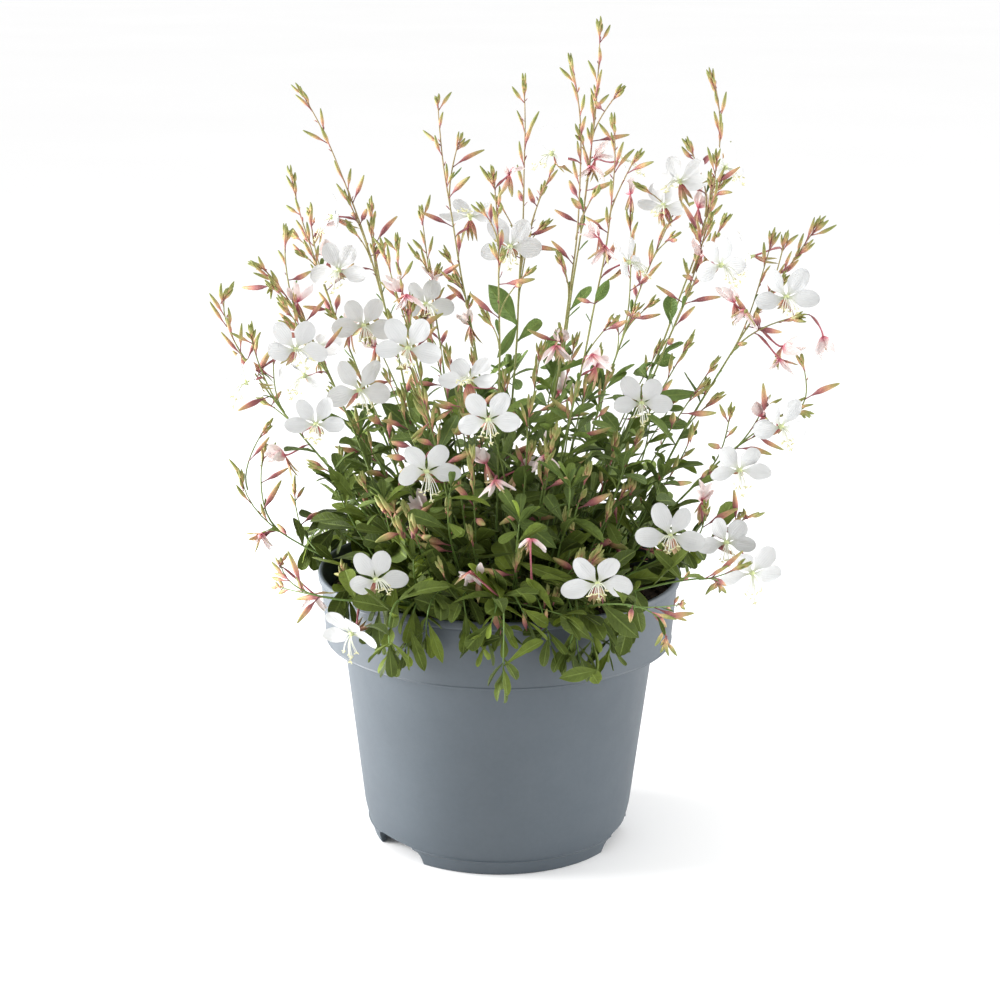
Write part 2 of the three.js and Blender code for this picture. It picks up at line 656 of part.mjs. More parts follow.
function drainCutter(i) {
  const turn = ((i + 0.5) / DRAIN_COUNT) * 2 * Math.PI;
  const cutter = new THREE.CylinderGeometry(DRAIN_RADIUS, DRAIN_RADIUS, 8, 6);
  cutter.rotateX(Math.PI / 2);
  cutter.translate(DRAIN_CIRCLE * Math.cos(turn), DRAIN_CIRCLE * Math.sin(turn), PLATE_HEIGHT);
  return solidOf(cutter);
}

// The pot: a tapered body with a wide collar, a thin lip over a groove, and a raised base plate on
// a notched foot and a low foot in the middle.
function potGeometry() {
  const lip = POT_HEIGHT - 4;
  const plateTop = PLATE_HEIGHT + WALL;
  const profile = [
    [0, 0],
    [CENTRE_FOOT_RADIUS, 0],
    [CENTRE_FOOT_RADIUS + 1, PLATE_HEIGHT],
    [FOOT_RADIUS - 3.5, PLATE_HEIGHT],
    [FOOT_RADIUS - 2.2, 0],
    [FOOT_RADIUS, 0],
    [FOOT_RADIUS + 2.4, 7.5],
    [BODY_FOOT_RADIUS, BODY_FOOT_HEIGHT],
    [BODY_TOP_RADIUS, SHELF - 1],
    [COLLAR_FOOT_RADIUS - 1, SHELF],
    [COLLAR_FOOT_RADIUS + 0.6, SHELF + 1],
    [COLLAR_FOOT_RADIUS, SHELF + 3.4],
    [RIM_RADIUS - 1.4, lip - 0.6],
    [RIM_RADIUS, lip + 0.8],
    [RIM_RADIUS - 0.4, POT_HEIGHT],
    [RIM_RADIUS - 2.6, POT_HEIGHT - 0.4],
    [collarInside(SHELF + 3.4), SHELF + 3.4],
    [COLLAR_FOOT_RADIUS - WALL - 1.2, SHELF + WALL],
    [bodyInside(SHELF), SHELF + WALL - 0.2],
    [bodyInside(BODY_FOOT_HEIGHT), BODY_FOOT_HEIGHT + 0.6],
    [FOOT_RADIUS - 0.4, plateTop + 0.3],
    [0, plateTop],
  ];
  const body = solidOf(turnedGeometry(profile, POT_SIDES));
  const cutters = [
    ...NOTCH_AZIMUTHS.map(notchCutter),
    ...Array.from({ length: DRAIN_COUNT }, (_, i) => drainCutter(i)),
  ];
  return geometryOf(body.subtract(wasm.Manifold.union(cutters)));
}

// The peat: it fills the pot to just under the rim, with a crumbled top and a plain hole for each stem.
function soilGeometry(stems) {
  const gap = SEAT_GAP + 0.1;
  const low = PLATE_HEIGHT + WALL + gap + 0.3;
  const profile = [
    [0, low],
    [FOOT_RADIUS - 2, low],
    [bodyInside(BODY_FOOT_HEIGHT) - gap, BODY_FOOT_HEIGHT + 1.4],
    [bodyInside(SHELF) - gap, SHELF + WALL + 0.2],
    [COLLAR_FOOT_RADIUS - WALL - 1.8, SHELF + WALL + gap],
    [collarInside(SHELF + 4) - gap, SHELF + 4],
    [collarInside(SOIL_LEVEL) - gap, SOIL_LEVEL],
    [70, SOIL_LEVEL],
    [46, SOIL_LEVEL],
    [22, SOIL_LEVEL],
    [0, SOIL_LEVEL],
  ];
  const geometry = turnedGeometry(profile, SOIL_SIDES);
  const position = geometry.getAttribute("position");
  for (let i = 0; i < position.count; i++) {
    const [x, y] = [position.getX(i), position.getY(i)];
    if (position.getZ(i) < SOIL_LEVEL - 1 || Math.hypot(x, y) > 80) continue;
    position.setZ(i, SOIL_LEVEL + 1.1 * Math.sin(x * 0.9 + y * 0.31) + 0.8 * Math.cos(y * 0.77 - x * 0.23));
  }
  const holes = stems.map((stem) => {
    const direction = stem.main.startDirection();
    const hole = new THREE.CylinderGeometry(HOLE_RADIUS, HOLE_RADIUS, ROOT_DEPTH + 14, 3);
    hole.applyQuaternion(new THREE.Quaternion().setFromUnitVectors(vector(0, 1, 0), direction));
    const middle = along(stem.main.pointAt(0), direction, 6.5 - ROOT_DEPTH / 2);
    hole.translate(middle.x, middle.y, middle.z);
    return solidOf(hole);
  });
  return geometryOf(solidOf(geometry).subtract(wasm.Manifold.union(holes)));
}

const plant = growPlant();
const pottedPlant = new THREE.Group();
pottedPlant.add(node("pot", potGeometry(), COLOURS.pot, 0.45));
pottedPlant.add(node("soil", soilGeometry(plant.stems), COLOURS.soil, 1));
for (const stem of plant.stems) pottedPlant.add(node(stem.owner, stemGeometry(stem), COLOURS.stem, 0.6));
for (const flower of plant.flowers) pottedPlant.add(flowerMesh(flower));

export default pottedPlant;
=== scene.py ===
"""Potted gaura: slender wands of white four-petalled flowers over a leafy clump, in a nursery pot.

Sizes are in millimetres until a mesh is made. +Z is up, +X to the right and -Y to the front, and the
origin is the middle of the pot's foot, on the ground, as in the CAD part. The stems, leaves, buds and
flowers grow by the same seeded steps as the part's, so each fine piece stands where its solid is.
"""

import math

import bpy
import numpy as np
from mathutils import Matrix


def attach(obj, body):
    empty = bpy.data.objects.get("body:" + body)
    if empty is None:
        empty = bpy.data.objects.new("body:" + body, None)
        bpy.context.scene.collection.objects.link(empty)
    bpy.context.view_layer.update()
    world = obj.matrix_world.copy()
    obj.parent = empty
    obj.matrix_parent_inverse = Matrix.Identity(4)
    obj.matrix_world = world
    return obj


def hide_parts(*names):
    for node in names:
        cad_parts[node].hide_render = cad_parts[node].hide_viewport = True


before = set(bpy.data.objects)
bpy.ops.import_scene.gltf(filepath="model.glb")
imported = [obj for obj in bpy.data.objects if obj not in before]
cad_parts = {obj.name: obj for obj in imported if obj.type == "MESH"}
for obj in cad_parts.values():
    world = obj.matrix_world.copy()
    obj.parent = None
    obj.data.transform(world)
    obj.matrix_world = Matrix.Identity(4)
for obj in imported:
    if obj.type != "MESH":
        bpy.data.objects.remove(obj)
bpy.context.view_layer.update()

# sizes shared with the part
RIM_RADIUS = 95.0
POT_HEIGHT = 145.0
WALL = 1.6
COLLAR_HEIGHT = 36.0
COLLAR_FOOT_RADIUS = 91.0
BODY_TOP_RADIUS = 81.8
BODY_FOOT_RADIUS = 71.0
BODY_FOOT_HEIGHT = 17.0
FOOT_RADIUS = 66.0
PLATE_HEIGHT = 8.5
CENTRE_FOOT_RADIUS = 9.0
NOTCH_AZIMUTHS = (-51, 72, 191)
NOTCH_WIDTH = 31.0
NOTCH_HEIGHT = 9.5
DRAIN_COUNT = 6
DRAIN_RADIUS = 4.5
DRAIN_CIRCLE = 44.0
SOIL_LEVEL = 131.0
SEAT_GAP = 0.3
ROOT_DEPTH = 9.0
GOLDEN_TURN = math.radians(137.5)
STEM_RADIUS = 1.5
SHOOT_RADIUS = 1.0
STEM_CHORDS = 6
SHOOT_CHORDS = 2
LEAF_LENGTH = (25, 38)
LEAF_HALF_WIDTH = 0.17
BUD_LENGTH = (9, 16)
TIP_BUD_LENGTH = (8, 12)
BUD_RADIUS = 1.05
BUD_SEAT = 1.5
STEM_BUDS = (0.95, 0.86, 0.75)
SHOOT_BUDS = (0.78,)
PETAL_REACH = 16.0
PETAL_ANGLES = (-98, -33, 33, 98)
THROAT_DEPTH = 3.0
CLEAR_GAP = 0.15
GROWTH_SEED = 911
FLOWER_TRIES, SPENT_TRIES, BUD_TRIES, LEAF_TRIES = 80, 40, 6, 18
# ranges of a leaf's width as a share of its usual one, of its droop and of its roll
LEAF_RANGES = (0.85, 1.15), (0.05, 0.4), (-0.9, 0.9)

# Beads are owned by number: the stems' from 1 up, and the others' from these up.
FLOWER_OWNERS, SPRIG_OWNERS, LEAFY_OWNERS, NOTABLE_OWNERS, BUD_OWNERS = 100, 300, 400, 500, 600

# Each stem: foot on the peat, a point halfway, tip, number of leaves, how far up they reach, and its
# shoots. A shoot has its start as a share of the stem, its tip, and its leaves if it is a leafy one.
STEMS = [
    ((-34, 12), (-57, 15, 268), (-106, 35, 391), 9, 0.4, [(0.62, -81, 22, 339), (0.52, -69, 46, 333)]),
    ((-42, 38), (-75, 33, 241), (-113, 64, 347), 9, 0.45, [(0.66, -104, 78, 324), (0.1, -72, 68, 182, 5)]),
    ((-52, 0), (-81, -10, 235), (-124, -12, 306), 9, 0.5, [(0.72, -110, 4, 324), (0.5, -111, -24, 292)]),
    ((-44, -18), (-99, -32, 222), (-135, -36, 297), 8, 0.5, [(0.58, -123, -52, 282)]),
    ((-52, -30), (-93, -28, 160), (-133, -22, 204), 8, 0.7, [(0.7, -121, -4, 214), (0.45, -108, 10, 188)]),
    ((-22, -46), (-66, -88, 153), (-109, -62, 170), 7, 0.6, [(0.2, -42, -78, 172, 4)]),
    ((-18, -22), (-36, -27, 232), (-52, -33, 323), 9, 0.45, [(0.6, -61, -17, 320)]),
    ((-18, 46), (-29, 46, 230), (-44, 75, 325), 9, 0.45, [(0.1, -38, 82, 186, 5)]),
    ((3, 66), (-17, 52, 267), (-35, 84, 383), 9, 0.4, [(0.72, -22, 72, 364), (0.1, -6, 92, 188, 5)]),
    ((-2, -38), (-1, -41, 254), (-5, -56, 359), 9, 0.45, []),
    ((2, 10), (8, 15, 269), (10, 20, 397), 9, 0.5, [(0.58, 29, 6, 362)]),
    ((14, -14), (32, -11, 274), (32, -15, 410), 9, 0.45, []),
    ((20, 36), (36, 30, 282), (49, 45, 425), 9, 0.5, [(0.66, 49, 58, 391)]),
    ((18, -34), (40, -41, 262), (52, -50, 384), 9, 0.45, []),
    ((42, 20), (87, 26, 268), (105, 30, 401), 9, 0.5, [(0.7, 95, 50, 364)]),
    ((36, -8), (73, -13, 241), (105, -20, 367), 9, 0.5, [(0.62, 109, -40, 337)]),
    ((36, 58), (60, 70, 237), (99, 110, 326), 9, 0.5, [(0.1, 58, 86, 184, 5), (0.55, 70, 104, 318)]),
    ((62, 4), (103, -16, 241), (158, -22, 332), 8, 0.5, [(0.7, 143, -6, 324), (0.6, 149, -46, 289)]),
    ((54, -24), (100, -44, 205), (147, -60, 244), 9, 0.5, [(0.62, 133, -44, 248), (0.5, 112, -66, 248)]),
    ((40, -40), (86, -52, 168), (123, -44, 188), 9, 0.7, [(0.55, 101, -66, 200), (0.2, 88, -28, 160, 4)]),
    ((30, -56), (76, -86, 162), (105, -72, 156), 8, 0.8, []),
    ((14, -60), (52, -104, 158), (78, -112, 136), 8, 0.7, [(0.15, 50, -92, 168, 4)]),
    ((-36, -56), (-46, -90, 155), (-52, -112, 134), 8, 1, []),
    ((-4, -62), (0, -94, 158), (2, -120, 124), 9, 1, [(0.3, 32, -104, 152, 4)]),
]

# Each open flower: its stem's number, its middle, and the degrees that it faces, round and up.
FLOWERS = [
    (1, -85, 30, 331, -20, 10), (1, -84, 14, 299, 10, 5), (4, -123, -42, 263, -75, 0),
    (4, -110, -54, 261, -20, 15), (3, -99, -26, 252, -30, 10), (3, -96, 2, 263, -10, 25),
    (1, -74, 6, 267, 70, 5), (4, -91, -52, 233, -8, 12), (3, -72, -32, 246, 25, 5),
    (7, -46, -44, 270, 0, 0), (8, -30, 52, 285, 20, 10), (10, -16, -56, 257, 15, 60),
    (9, -17, 60, 315, 0, 12), (11, 4, 2, 314, 10, 0), (10, -8, -66, 239, 6, 8),
    (7, -36, -66, 213, 30, -15), (12, 24, -8, 362, -25, 15), (13, 63, 60, 352, 60, 20),
    (14, 62, -40, 313, 50, 10), (17, 88, 100, 323, -15, 10), (15, 97, 38, 341, -20, 12),
    (15, 111, 22, 351, 60, 10), (16, 106, -36, 318, 35, 15), (18, 139, 4, 304, -15, 20),
    (18, 141, -42, 295, 25, -10), (16, 70, -38, 242, 0, 5), (19, 136, -70, 238, 30, 10),
    (19, 117, -66, 215, 0, 0), (20, 109, -62, 182, -20, 10), (20, 121, -70, 166, 10, 0),
    (20, 93, -62, 190, -10, 20), (22, 50, -106, 166, 5, 22), (6, -75, -84, 148, -5, 0),
    (6, -58, -96, 162, 20, 10),
]

# Each fading flower: its stem's number and where it hangs.
SPENT_FLOWERS = [
    (7, -47, -40, 296), (10, -3, -70, 210), (12, 22, -46, 217), (13, 45, 28, 352), (14, 49, -60, 324),
    (18, 120, -34, 289), (18, 138, -36, 265), (12, 27, -28, 269), (14, 44, -60, 271), (24, -14, -98, 172),
    (6, -92, -66, 150), (5, -121, -34, 172), (24, 15, -90, 186),
]


# vectors
def vector(x, y, z):
    return np.array([x, y, z], float)


def unit(v):
    """Each vector divided by its own length."""
    return v / np.maximum(np.linalg.norm(v, axis=-1, keepdims=True), 1e-12)


def cross_frame(direction):
    """Across = direction x up (or x +Y where the direction is upright), upward = across x direction."""
    upright = np.abs(direction[..., 2:3]) > 0.99
    across = unit(np.cross(direction, np.where(upright, [0.0, 1.0, 0.0], [0.0, 0.0, 1.0])))
    return across, np.cross(across, direction)


def turned(v, axis, angle):
    """Rodrigues' turn of v about a unit axis: v cos + (axis x v) sin + axis (axis . v)(1 - cos)."""
    angle = np.asarray(angle)[..., None]
    dot = np.sum(axis * v, axis=-1, keepdims=True)
    return v * np.cos(angle) + np.cross(axis, v) * np.sin(angle) + axis * dot * (1 - np.cos(angle))


def rolled_frame(direction, roll):
    """Across and upward of a direction, both rolled about it."""
    return [turned(v, direction, roll) for v in cross_frame(direction)]


def beside(way, turn):
    """A unit vector square to a way, turned round it."""
    return turned(cross_frame(way)[0], way, turn)


def leaning(way, turn, lean):
    """A way leant over to one side: way cos + beside sin."""
    return way * math.cos(lean) + beside(way, turn) * math.sin(lean)


def bezier(t, a, b, c, d):
    """(1-t)^3 a + 3(1-t)^2 t b + 3(1-t) t^2 c + t^3 d."""
    return (1 - t) ** 3 * a + 3 * (1 - t) ** 2 * t * b + 3 * (1 - t) * t**2 * c + t**3 * d


# growing
class SeededDraws:
    """The part's own draws: state = (state * 1664525 + 1013904223) mod 2^32, as a share of 2^32."""

    def __init__(self, seed):
        self.state = seed

    def __call__(self, low, high):
        self.state = (self.state * 1664525 + 1013904223) % 4294967296
        return low + ((high - low) * self.state) / 4294967296


class Stalk:
    """A cubic Bezier way, and the equal-parameter chords that the part's solid follows."""

    def __init__(self, start, first, second, end, chords):
        self.poles, self.chords = np.array([start, first, second, end]), chords

    def curve(self, t):
        return bezier(np.asarray(t, float)[..., None], *self.poles)

    def chord(self, share):
        """Both ends of the chord at a share of the way, and how far along the chord that is."""
        at = min(share, 0.9999) * self.chords
        i = math.floor(at)
        return self.curve(i / self.chords), self.curve((i + 1) / self.chords), at - i

    def point_at(self, share):
        start, end, rest = self.chord(share)
        return start + (end - start) * rest

    def direction_at(self, share):
        start, end, _ = self.chord(share)
        return unit(end - start)

    def shift_at(self, share):
        """How far the smooth curve runs from the chord at a share of the way."""
        return self.curve(min(share, 0.9999)) - self.point_at(share)

    def length(self):
        return float(np.linalg.norm(np.diff(self.curve(np.linspace(0, 1, 33)), axis=0), axis=1).sum())


def stem_path(foot, middle, tip):
    """Steeply up from the peat, then through the middle point to the tip."""
    start, half, end = vector(*foot, SOIL_LEVEL), vector(*middle), vector(*tip)
    first = start + 0.15 * (half - start)
    first[2] = SOIL_LEVEL + (12 + 0.22 * (end[2] - SOIL_LEVEL))
    return Stalk(start, first, (half * 8 - start - first * 3 - end) / 3, end, STEM_CHORDS)


def shoot_path(parent, share, *tip):
    """Off the parent along its own direction, then bent towards the tip."""
    start, end = parent.point_at(share), vector(*tip)
    first = start + parent.direction_at(share) * np.linalg.norm(end - start) / 3
    return Stalk(start, first, end + (first - end) * 0.4, end, SHOOT_CHORDS)


class Shoot:
    """One stem or shoot, and the records of all that grows on it."""

    def __init__(self, number, path):
        self.number, self.main, self.shoots, self.twigs = number, path, [], []
        self.leaves, self.bracts, self.scales, self.buds = [], [], [], []
        self.tubes, self.spent, self.pink = [], [], []


class Stem(Shoot):
    """A stem that the part has a solid for. Each of its shoots is a path and its number of leaves."""

    def __init__(self, number, foot, middle, tip, leaf_count, leafy, shoots):
        super().__init__(number, stem_path(foot, middle, tip))
        self.leaf_count, self.leafy = leaf_count, leafy
        self.shoots = [(shoot_path(self.main, *s[:4]), s[4] if len(s) > 4 else 0) for s in shoots]

    def paths(self):
        return [self.main] + [path for path, _ in self.shoots]


class Beads:
    """Spheres that stand for what has been placed, so that nothing is set through another piece."""

    def __init__(self, room=60000):
        self.points, self.radii, self.owners = np.zeros((room, 3)), np.zeros(room), np.zeros(room, int)
        self.count = 0

    def keep(self, owner, points, radii):
        to = self.count + len(points)
        self.points[self.count : to], self.radii[self.count : to] = points, radii
        self.owners[self.count : to] = owner
        self.count = to

    def is_clear(self, owner, points, radii, ease=1.0, flower_ease=1.0):
        """Whether spheres are clear of the pot and of what others own, with the radii eased."""
        reach, low = np.hypot(points[:, 0], points[:, 1]), points[:, 2] - radii
        inside = (reach + radii < RIM_RADIUS - 5) & (low > SOIL_LEVEL + 2)
        if not np.all(inside | (low > POT_HEIGHT + 0.6) | (reach - radii > RIM_RADIUS + 0.6)):
            return False
        kept, middle = self.points[: self.count], points.mean(axis=0)
        span = np.abs(points - middle).max() + radii.max() + self.radii.max() + CLEAR_GAP
        others = (np.abs(kept - middle) <= span * max(1.0, flower_ease)).all(axis=1)
        others &= self.owners[: self.count] != owner
        owners = self.owners[: self.count][others]
        eases = np.where((owners >= FLOWER_OWNERS) & (owners < SPRIG_OWNERS), flower_ease, ease)
        return are_apart(points, radii, kept[others], self.radii[: self.count][others], eases)

    def claim(self, owner, points, radii, ease=1.0):
        """Keeps spheres where they are clear, and says whether they are."""
        is_clear = self.is_clear(owner, points, radii, ease)
        if is_clear:
            self.keep(owner, points, radii)
        return is_clear


def are_apart(points, radii, other_points, other_radii, ease=1.0):
    """Whether every pair of spheres is apart, with the sum of their radii eased."""
    away = np.linalg.norm(points[:, None] - other_points[None], axis=-1)
    return bool(np.all(away > (radii[:, None] + other_radii[None]) * ease + CLEAR_GAP))


def joined(found):
    """Several groups of spheres as one: all points, and all radii."""
    return np.concatenate([points for points, _ in found]), np.concatenate([radii for _, radii in found])


def line_beads(start, end, radius, spacing=4):
    """Even spheres along a line, each of which holds its own length of a rod of the radius."""
    length = np.linalg.norm(end - start)
    count = max(1, math.ceil(length / spacing))
    shares = (np.arange(count)[:, None] + 0.5) / count
    return start + (end - start) * shares, np.full(count, math.hypot(length / count / 2, radius))


def path_beads(path, radius):
    """The spheres of all chords of a path."""
    marks = [path.point_at(i / path.chords) for i in range(path.chords + 1)]
    return joined([line_beads(a, b, radius) for a, b in zip(marks, marks[1:])])


def leaf_beads(leaf):
    """Six pairs of spheres down a leaf, at half its width there, on its drooping midline."""
    across, upward = rolled_frame(leaf["direction"], leaf["roll"])
    share = (np.arange(1, 7) / 6 - 0.04)[:, None, None]
    spread = np.where(share < 0.5, share * 2, 2 - 1.6 * share)
    edge = np.array([-0.5, 0.5])[None, :, None]
    points = (
        leaf["root"]
        + leaf["direction"] * leaf["length"] * share
        + upward * (-leaf["droop"] * leaf["length"] * share**2 + 0.4)
        + across * (edge * leaf["width"] * spread)
    )
    radii = np.hypot(leaf["length"] / 12, leaf["width"] * spread / 2) + 0.5
    return points.reshape(-1, 3), np.broadcast_to(radii, (6, 2, 1)).reshape(-1)


def facing_of(azimuth, lift):
    """The direction so many degrees round from the front and up."""
    a, b = math.radians(azimuth), math.radians(lift)
    return vector(math.sin(a) * math.cos(b), -math.cos(a) * math.cos(b), math.sin(b))


def flower_frame(facing):
    """Columns across, up and facing of a flower, with its upper petals up."""
    up = unit(vector(0, 0, 1) - facing * facing[2])
    return np.stack([np.cross(up, facing), up, facing], axis=1)


def flower_beads(centre, facing, size):
    """Six spheres on each petal and one behind the middle."""
    found = [(0, -6 * size, 4 * size, 4)]
    for angle in map(math.radians, PETAL_ANGLES):
        for share in (0.3, 0.6, 0.88):
            for aside in (-0.13, 0.13):
                r = share * PETAL_REACH * size
                w = 0 if share < 0.5 else aside * PETAL_REACH * size
                across = r * math.sin(angle) + w * math.cos(angle)
                found.append((across, r * math.cos(angle) - w * math.sin(angle), 0.5, 3.4 * size))
    found = np.array(found, float)
    return found[:, :3] @ flower_frame(facing).T + centre, found[:, 3]


def new_leaf(draw, root, direction, length, width, widths, droops, rolls):
    """A leaf's record. The share that it has of the width, its droop and its roll are ranges to draw from."""
    return {
        "root": root,
        "direction": unit(direction),
        "length": length,
        "width": width * draw(*widths),
        "droop": draw(*droops),
        "roll": draw(*rolls),
        "wave": draw(0, 6),
    }


class Plant:
    """The whole plant, grown in the part's own order of draws."""

    def __init__(self):
        self.draw = SeededDraws(GROWTH_SEED)
        self.beads = Beads()
        self.stems = [Stem(i + 1, *row) for i, row in enumerate(STEMS)]
        for stem in self.stems:
            for path in stem.paths():
                radius = STEM_RADIUS if path is stem.main else SHOOT_RADIUS
                self.beads.keep(stem.number, *path_beads(path, radius))
        self.flowers = [self.grow_flower(FLOWER_OWNERS + i, *row) for i, row in enumerate(FLOWERS)]
        for row in SPENT_FLOWERS:
            self.grow_spent_flower(*row)
        for stem in self.stems:
            if stem.leafy < 1:
                self.grow_buds(stem, stem.main, STEM_BUDS)
            for path, leaves in stem.shoots:
                if not leaves:
                    self.grow_buds(stem, path, SHOOT_BUDS)
        for stem in self.stems:
            self.grow_leaves(stem, stem.main, stem.leaf_count, 0.03, stem.leafy)
            for path, leaves in stem.shoots:
                self.grow_leaves(stem, path, leaves, 0.1, 0.95)

    @staticmethod
    def nearest_on(stem, target):
        """The nearest point of a stem or its shoots to one 9 mm below the target, and its curve's shift."""
        below, best, away = target - vector(0, 0, 9), None, None
        for path in stem.paths():
            for i in range(8, 41):
                point = path.point_at(i / 40)
                distance = np.linalg.norm(point - below)
                if away is None or distance < away:
                    best, away = (point, path.shift_at(i / 40), path.direction_at(i / 40)), distance
        return best

    def strayed(self, x, y, z, stray):
        return vector(*(value + self.draw(-stray, stray) for value in (x, y, z)))

    def grow_flower(self, owner, number, x, y, z, azimuth, lift):
        stem = self.stems[number - 1]
        size, cup = self.draw(0.9, 1.06), self.draw(-0.1, 0.16)
        for attempt in range(FLOWER_TRIES):
            stray = attempt * 0.3
            centre = self.strayed(x, y, z, stray)
            root, shift, along = self.nearest_on(stem, centre)
            wanted = facing_of(azimuth + self.draw(-3, 3) * stray, lift + self.draw(-2, 2) * stray)
            facing = unit(wanted + unit(centre - root) * (0.5 + 0.03 * stray))
            seat = centre - facing * (THROAT_DEPTH + SEAT_GAP)
            petals, tube = flower_beads(centre, facing, size), line_beads(root, seat, 1, 2)
            if (
                self.beads.is_clear(owner, *petals)
                and self.beads.is_clear(number, *tube)
                and are_apart(*petals, *tube)
            ):
                self.beads.keep(owner, *petals)
                self.beads.keep(number, *tube)
                stem.tubes.append({"root": root + shift, "along": along, "tip": seat, "facing": facing})
                return {"centre": centre, "facing": facing, "size": size, "cup": cup}
        raise ValueError("no room for a flower")

    def grow_spent_flower(self, number, x, y, z):
        stem = self.stems[number - 1]
        root, shift, along = self.nearest_on(stem, vector(x, y, z))
        for attempt in range(SPENT_TRIES):
            centre = self.strayed(x, y, z, attempt * 0.4)
            turns = [i * GOLDEN_TURN + self.draw(-0.4, 0.4) for i in range(2)]
            petals = [centre + vector(math.cos(turn), math.sin(turn), -1.1) * 7 for turn in turns]
            beads = [line_beads(root, centre, 1)] + [line_beads(centre, tip, 1.3) for tip in petals]
            if self.beads.claim(number, *joined(beads)):
                stem.spent.append({"root": root + shift, "along": along, "centre": centre, "petals": petals})
                return

    def grow_bud(self, stem, path, share, lean, turn, length):
        tangent = path.direction_at(share)
        root = path.point_at(share) - tangent * BUD_SEAT
        direction = leaning(tangent, turn, lean)
        tip = root + direction * length
        if not self.beads.claim(stem.number, *line_beads(root + direction * 1.5, tip, BUD_RADIUS)):
            return False
        shift = path.shift_at(share)
        stem.buds.append({"root": root + shift, "tip": tip + shift, "radius": BUD_RADIUS, "share": share})
        return True

    def grow_buds(self, stem, path, shares):
        self.grow_bud(stem, path, 1, self.draw(0, 0.12), self.draw(0, 6), self.draw(*TIP_BUD_LENGTH))
        for i, share in enumerate(shares):
            lean, length = self.draw(0.4, 0.7), self.draw(*BUD_LENGTH)
            for attempt in range(BUD_TRIES):
                turn = i * GOLDEN_TURN + attempt * 1.1 + self.draw(0, 1)
                if self.grow_bud(stem, path, share + self.draw(-0.015, 0.015), lean, turn, length):
                    break

    def grow_leaves(self, stem, path, count, low, high):
        for i in range(count):
            age = (i + 0.5) / count
            for attempt in range(LEAF_TRIES):
                share = low + (high - low) * (age**1.3 + self.draw(-0.4, 0.4) / count)
                turn = i * GOLDEN_TURN + attempt * 1.3 + self.draw(-0.3, 0.3)
                lift = self.draw(0.1, 0.9) + 0.3 * age
                length = self.draw(*LEAF_LENGTH) * (1 - 0.4 * age) * (0.75 if attempt > 10 else 1)
                way = vector(math.cos(turn), math.sin(turn), math.tan(lift))
                width = length * LEAF_HALF_WIDTH
                leaf = new_leaf(self.draw, path.point_at(share), way, length, width, *LEAF_RANGES)
                if self.beads.claim(stem.number, *leaf_beads(leaf)):
                    leaf["root"] = leaf["root"] + path.shift_at(share)
                    stem.leaves.append(leaf)
                    break


plant = Plant()


# what the part's solids leave out

# Each side shoot: its stem's number, where it leaves the stem as a share of it, and its tip.
SIDE_SHOOTS = [
    (1, 0.57, -68, 25, 325), (8, 0.78, -48, 52, 305), (8, 0.73, -33, 57, 297), (9, 0.54, -26, 52, 292),
    (2, 0.72, -108, 33, 307), (3, 0.85, -118, -22, 293), (3, 0.61, -110, -18, 280), (3, 0.64, -101, -16, 276),
    (3, 0.56, -107, -7, 263), (2, 0.60, -92, 30, 277), (1, 0.47, -70, 13, 278), (7, 0.65, -48, -29, 279),
    (5, 0.90, -117, -7, 226), (4, 0.38, -98, -27, 207), (15, 0.63, 98, 31, 325), (16, 0.90, 103, -14, 356),
    (18, 0.59, 135, -19, 327), (18, 0.82, 150, -24, 319), (17, 0.79, 97, 86, 311), (18, 0.47, 106, -21, 251),
    (11, 0.54, 21, 17, 345), (17, 0.90, 70, 97, 337), (17, 0.60, 75, 73, 274), (19, 0.90, 148, -37, 269),
    (18, 0.66, 130, -22, 291), (21, 0.70, 121, -94, 177), (10, 0.78, -13, -42, 342), (10, 0.71, 1, -50, 321),
    (9, 0.50, -17, 54, 282), (12, 0.46, 29, -13, 278), (6, 0.62, -112, -58, 152), (22, 0.6, 92, -76, 150),
]

# Each half-open or fading flower that is too small for a solid: its stem's number and its middle.
PINK_FLOWERS = [
    (2, -98, 61, 313), (2, -91, 45, 299), (7, -48, -31, 297), (8, -35, 54, 283), (9, -16, 52, 264),
    (10, 2, -55, 358), (12, 29, -11, 266), (14, 47, -46, 325), (13, 45, 34, 352), (14, 47, -41, 262),
    (16, 99, -17, 313), (18, 116, -24, 292), (18, 142, -35, 268), (8, -38, 50, 262), (3, -102, -13, 288),
    (12, 23, -12, 209), (10, -8, -39, 210), (10, 10, -39, 208), (7, -43, -24, 185), (24, -14, -92, 168),
    (2, -80, 34, 264), (18, 161, -46, 274), (17, 76, 104, 323), (19, 128, -49, 237), (13, 31, 32, 231),
    (15, 101, 36, 330), (1, -70, 20, 262), (4, -108, -36, 214), (20, 100, -56, 196),
]

# Each low sprig that leans over the rim: degrees round from the front, foot radius, tip radius, tip height.
LOW_SPRIGS = [
    (-47, 50, 101, 147), (-36, 60, 104, 134), (-31, 46, 103, 126), (-26, 58, 104, 129), (-20, 46, 103, 137),
    (-8, 60, 103, 144), (-4, 48, 104, 136), (1, 62, 103, 142), (8, 50, 101, 147), (14, 60, 104, 136),
    (18, 48, 104, 129), (22, 62, 105, 125), (26, 46, 104, 130), (31, 58, 105, 128), (37, 48, 103, 140),
    (106, 50, 103, 142), (117, 62, 105, 134),
    (127, 48, 102, 144), (136, 60, 104, 130), (145, 50, 103, 140), (156, 62, 105, 132), (165, 48, 102, 144),
    (175, 60, 105, 134), (184, 50, 103, 142), (195, 62, 104, 128), (204, 48, 102, 138), (215, 58, 104, 142),
    (224, 50, 103, 132), (236, 62, 104, 144), (247, 48, 102, 136), (258, 58, 103, 146),
]

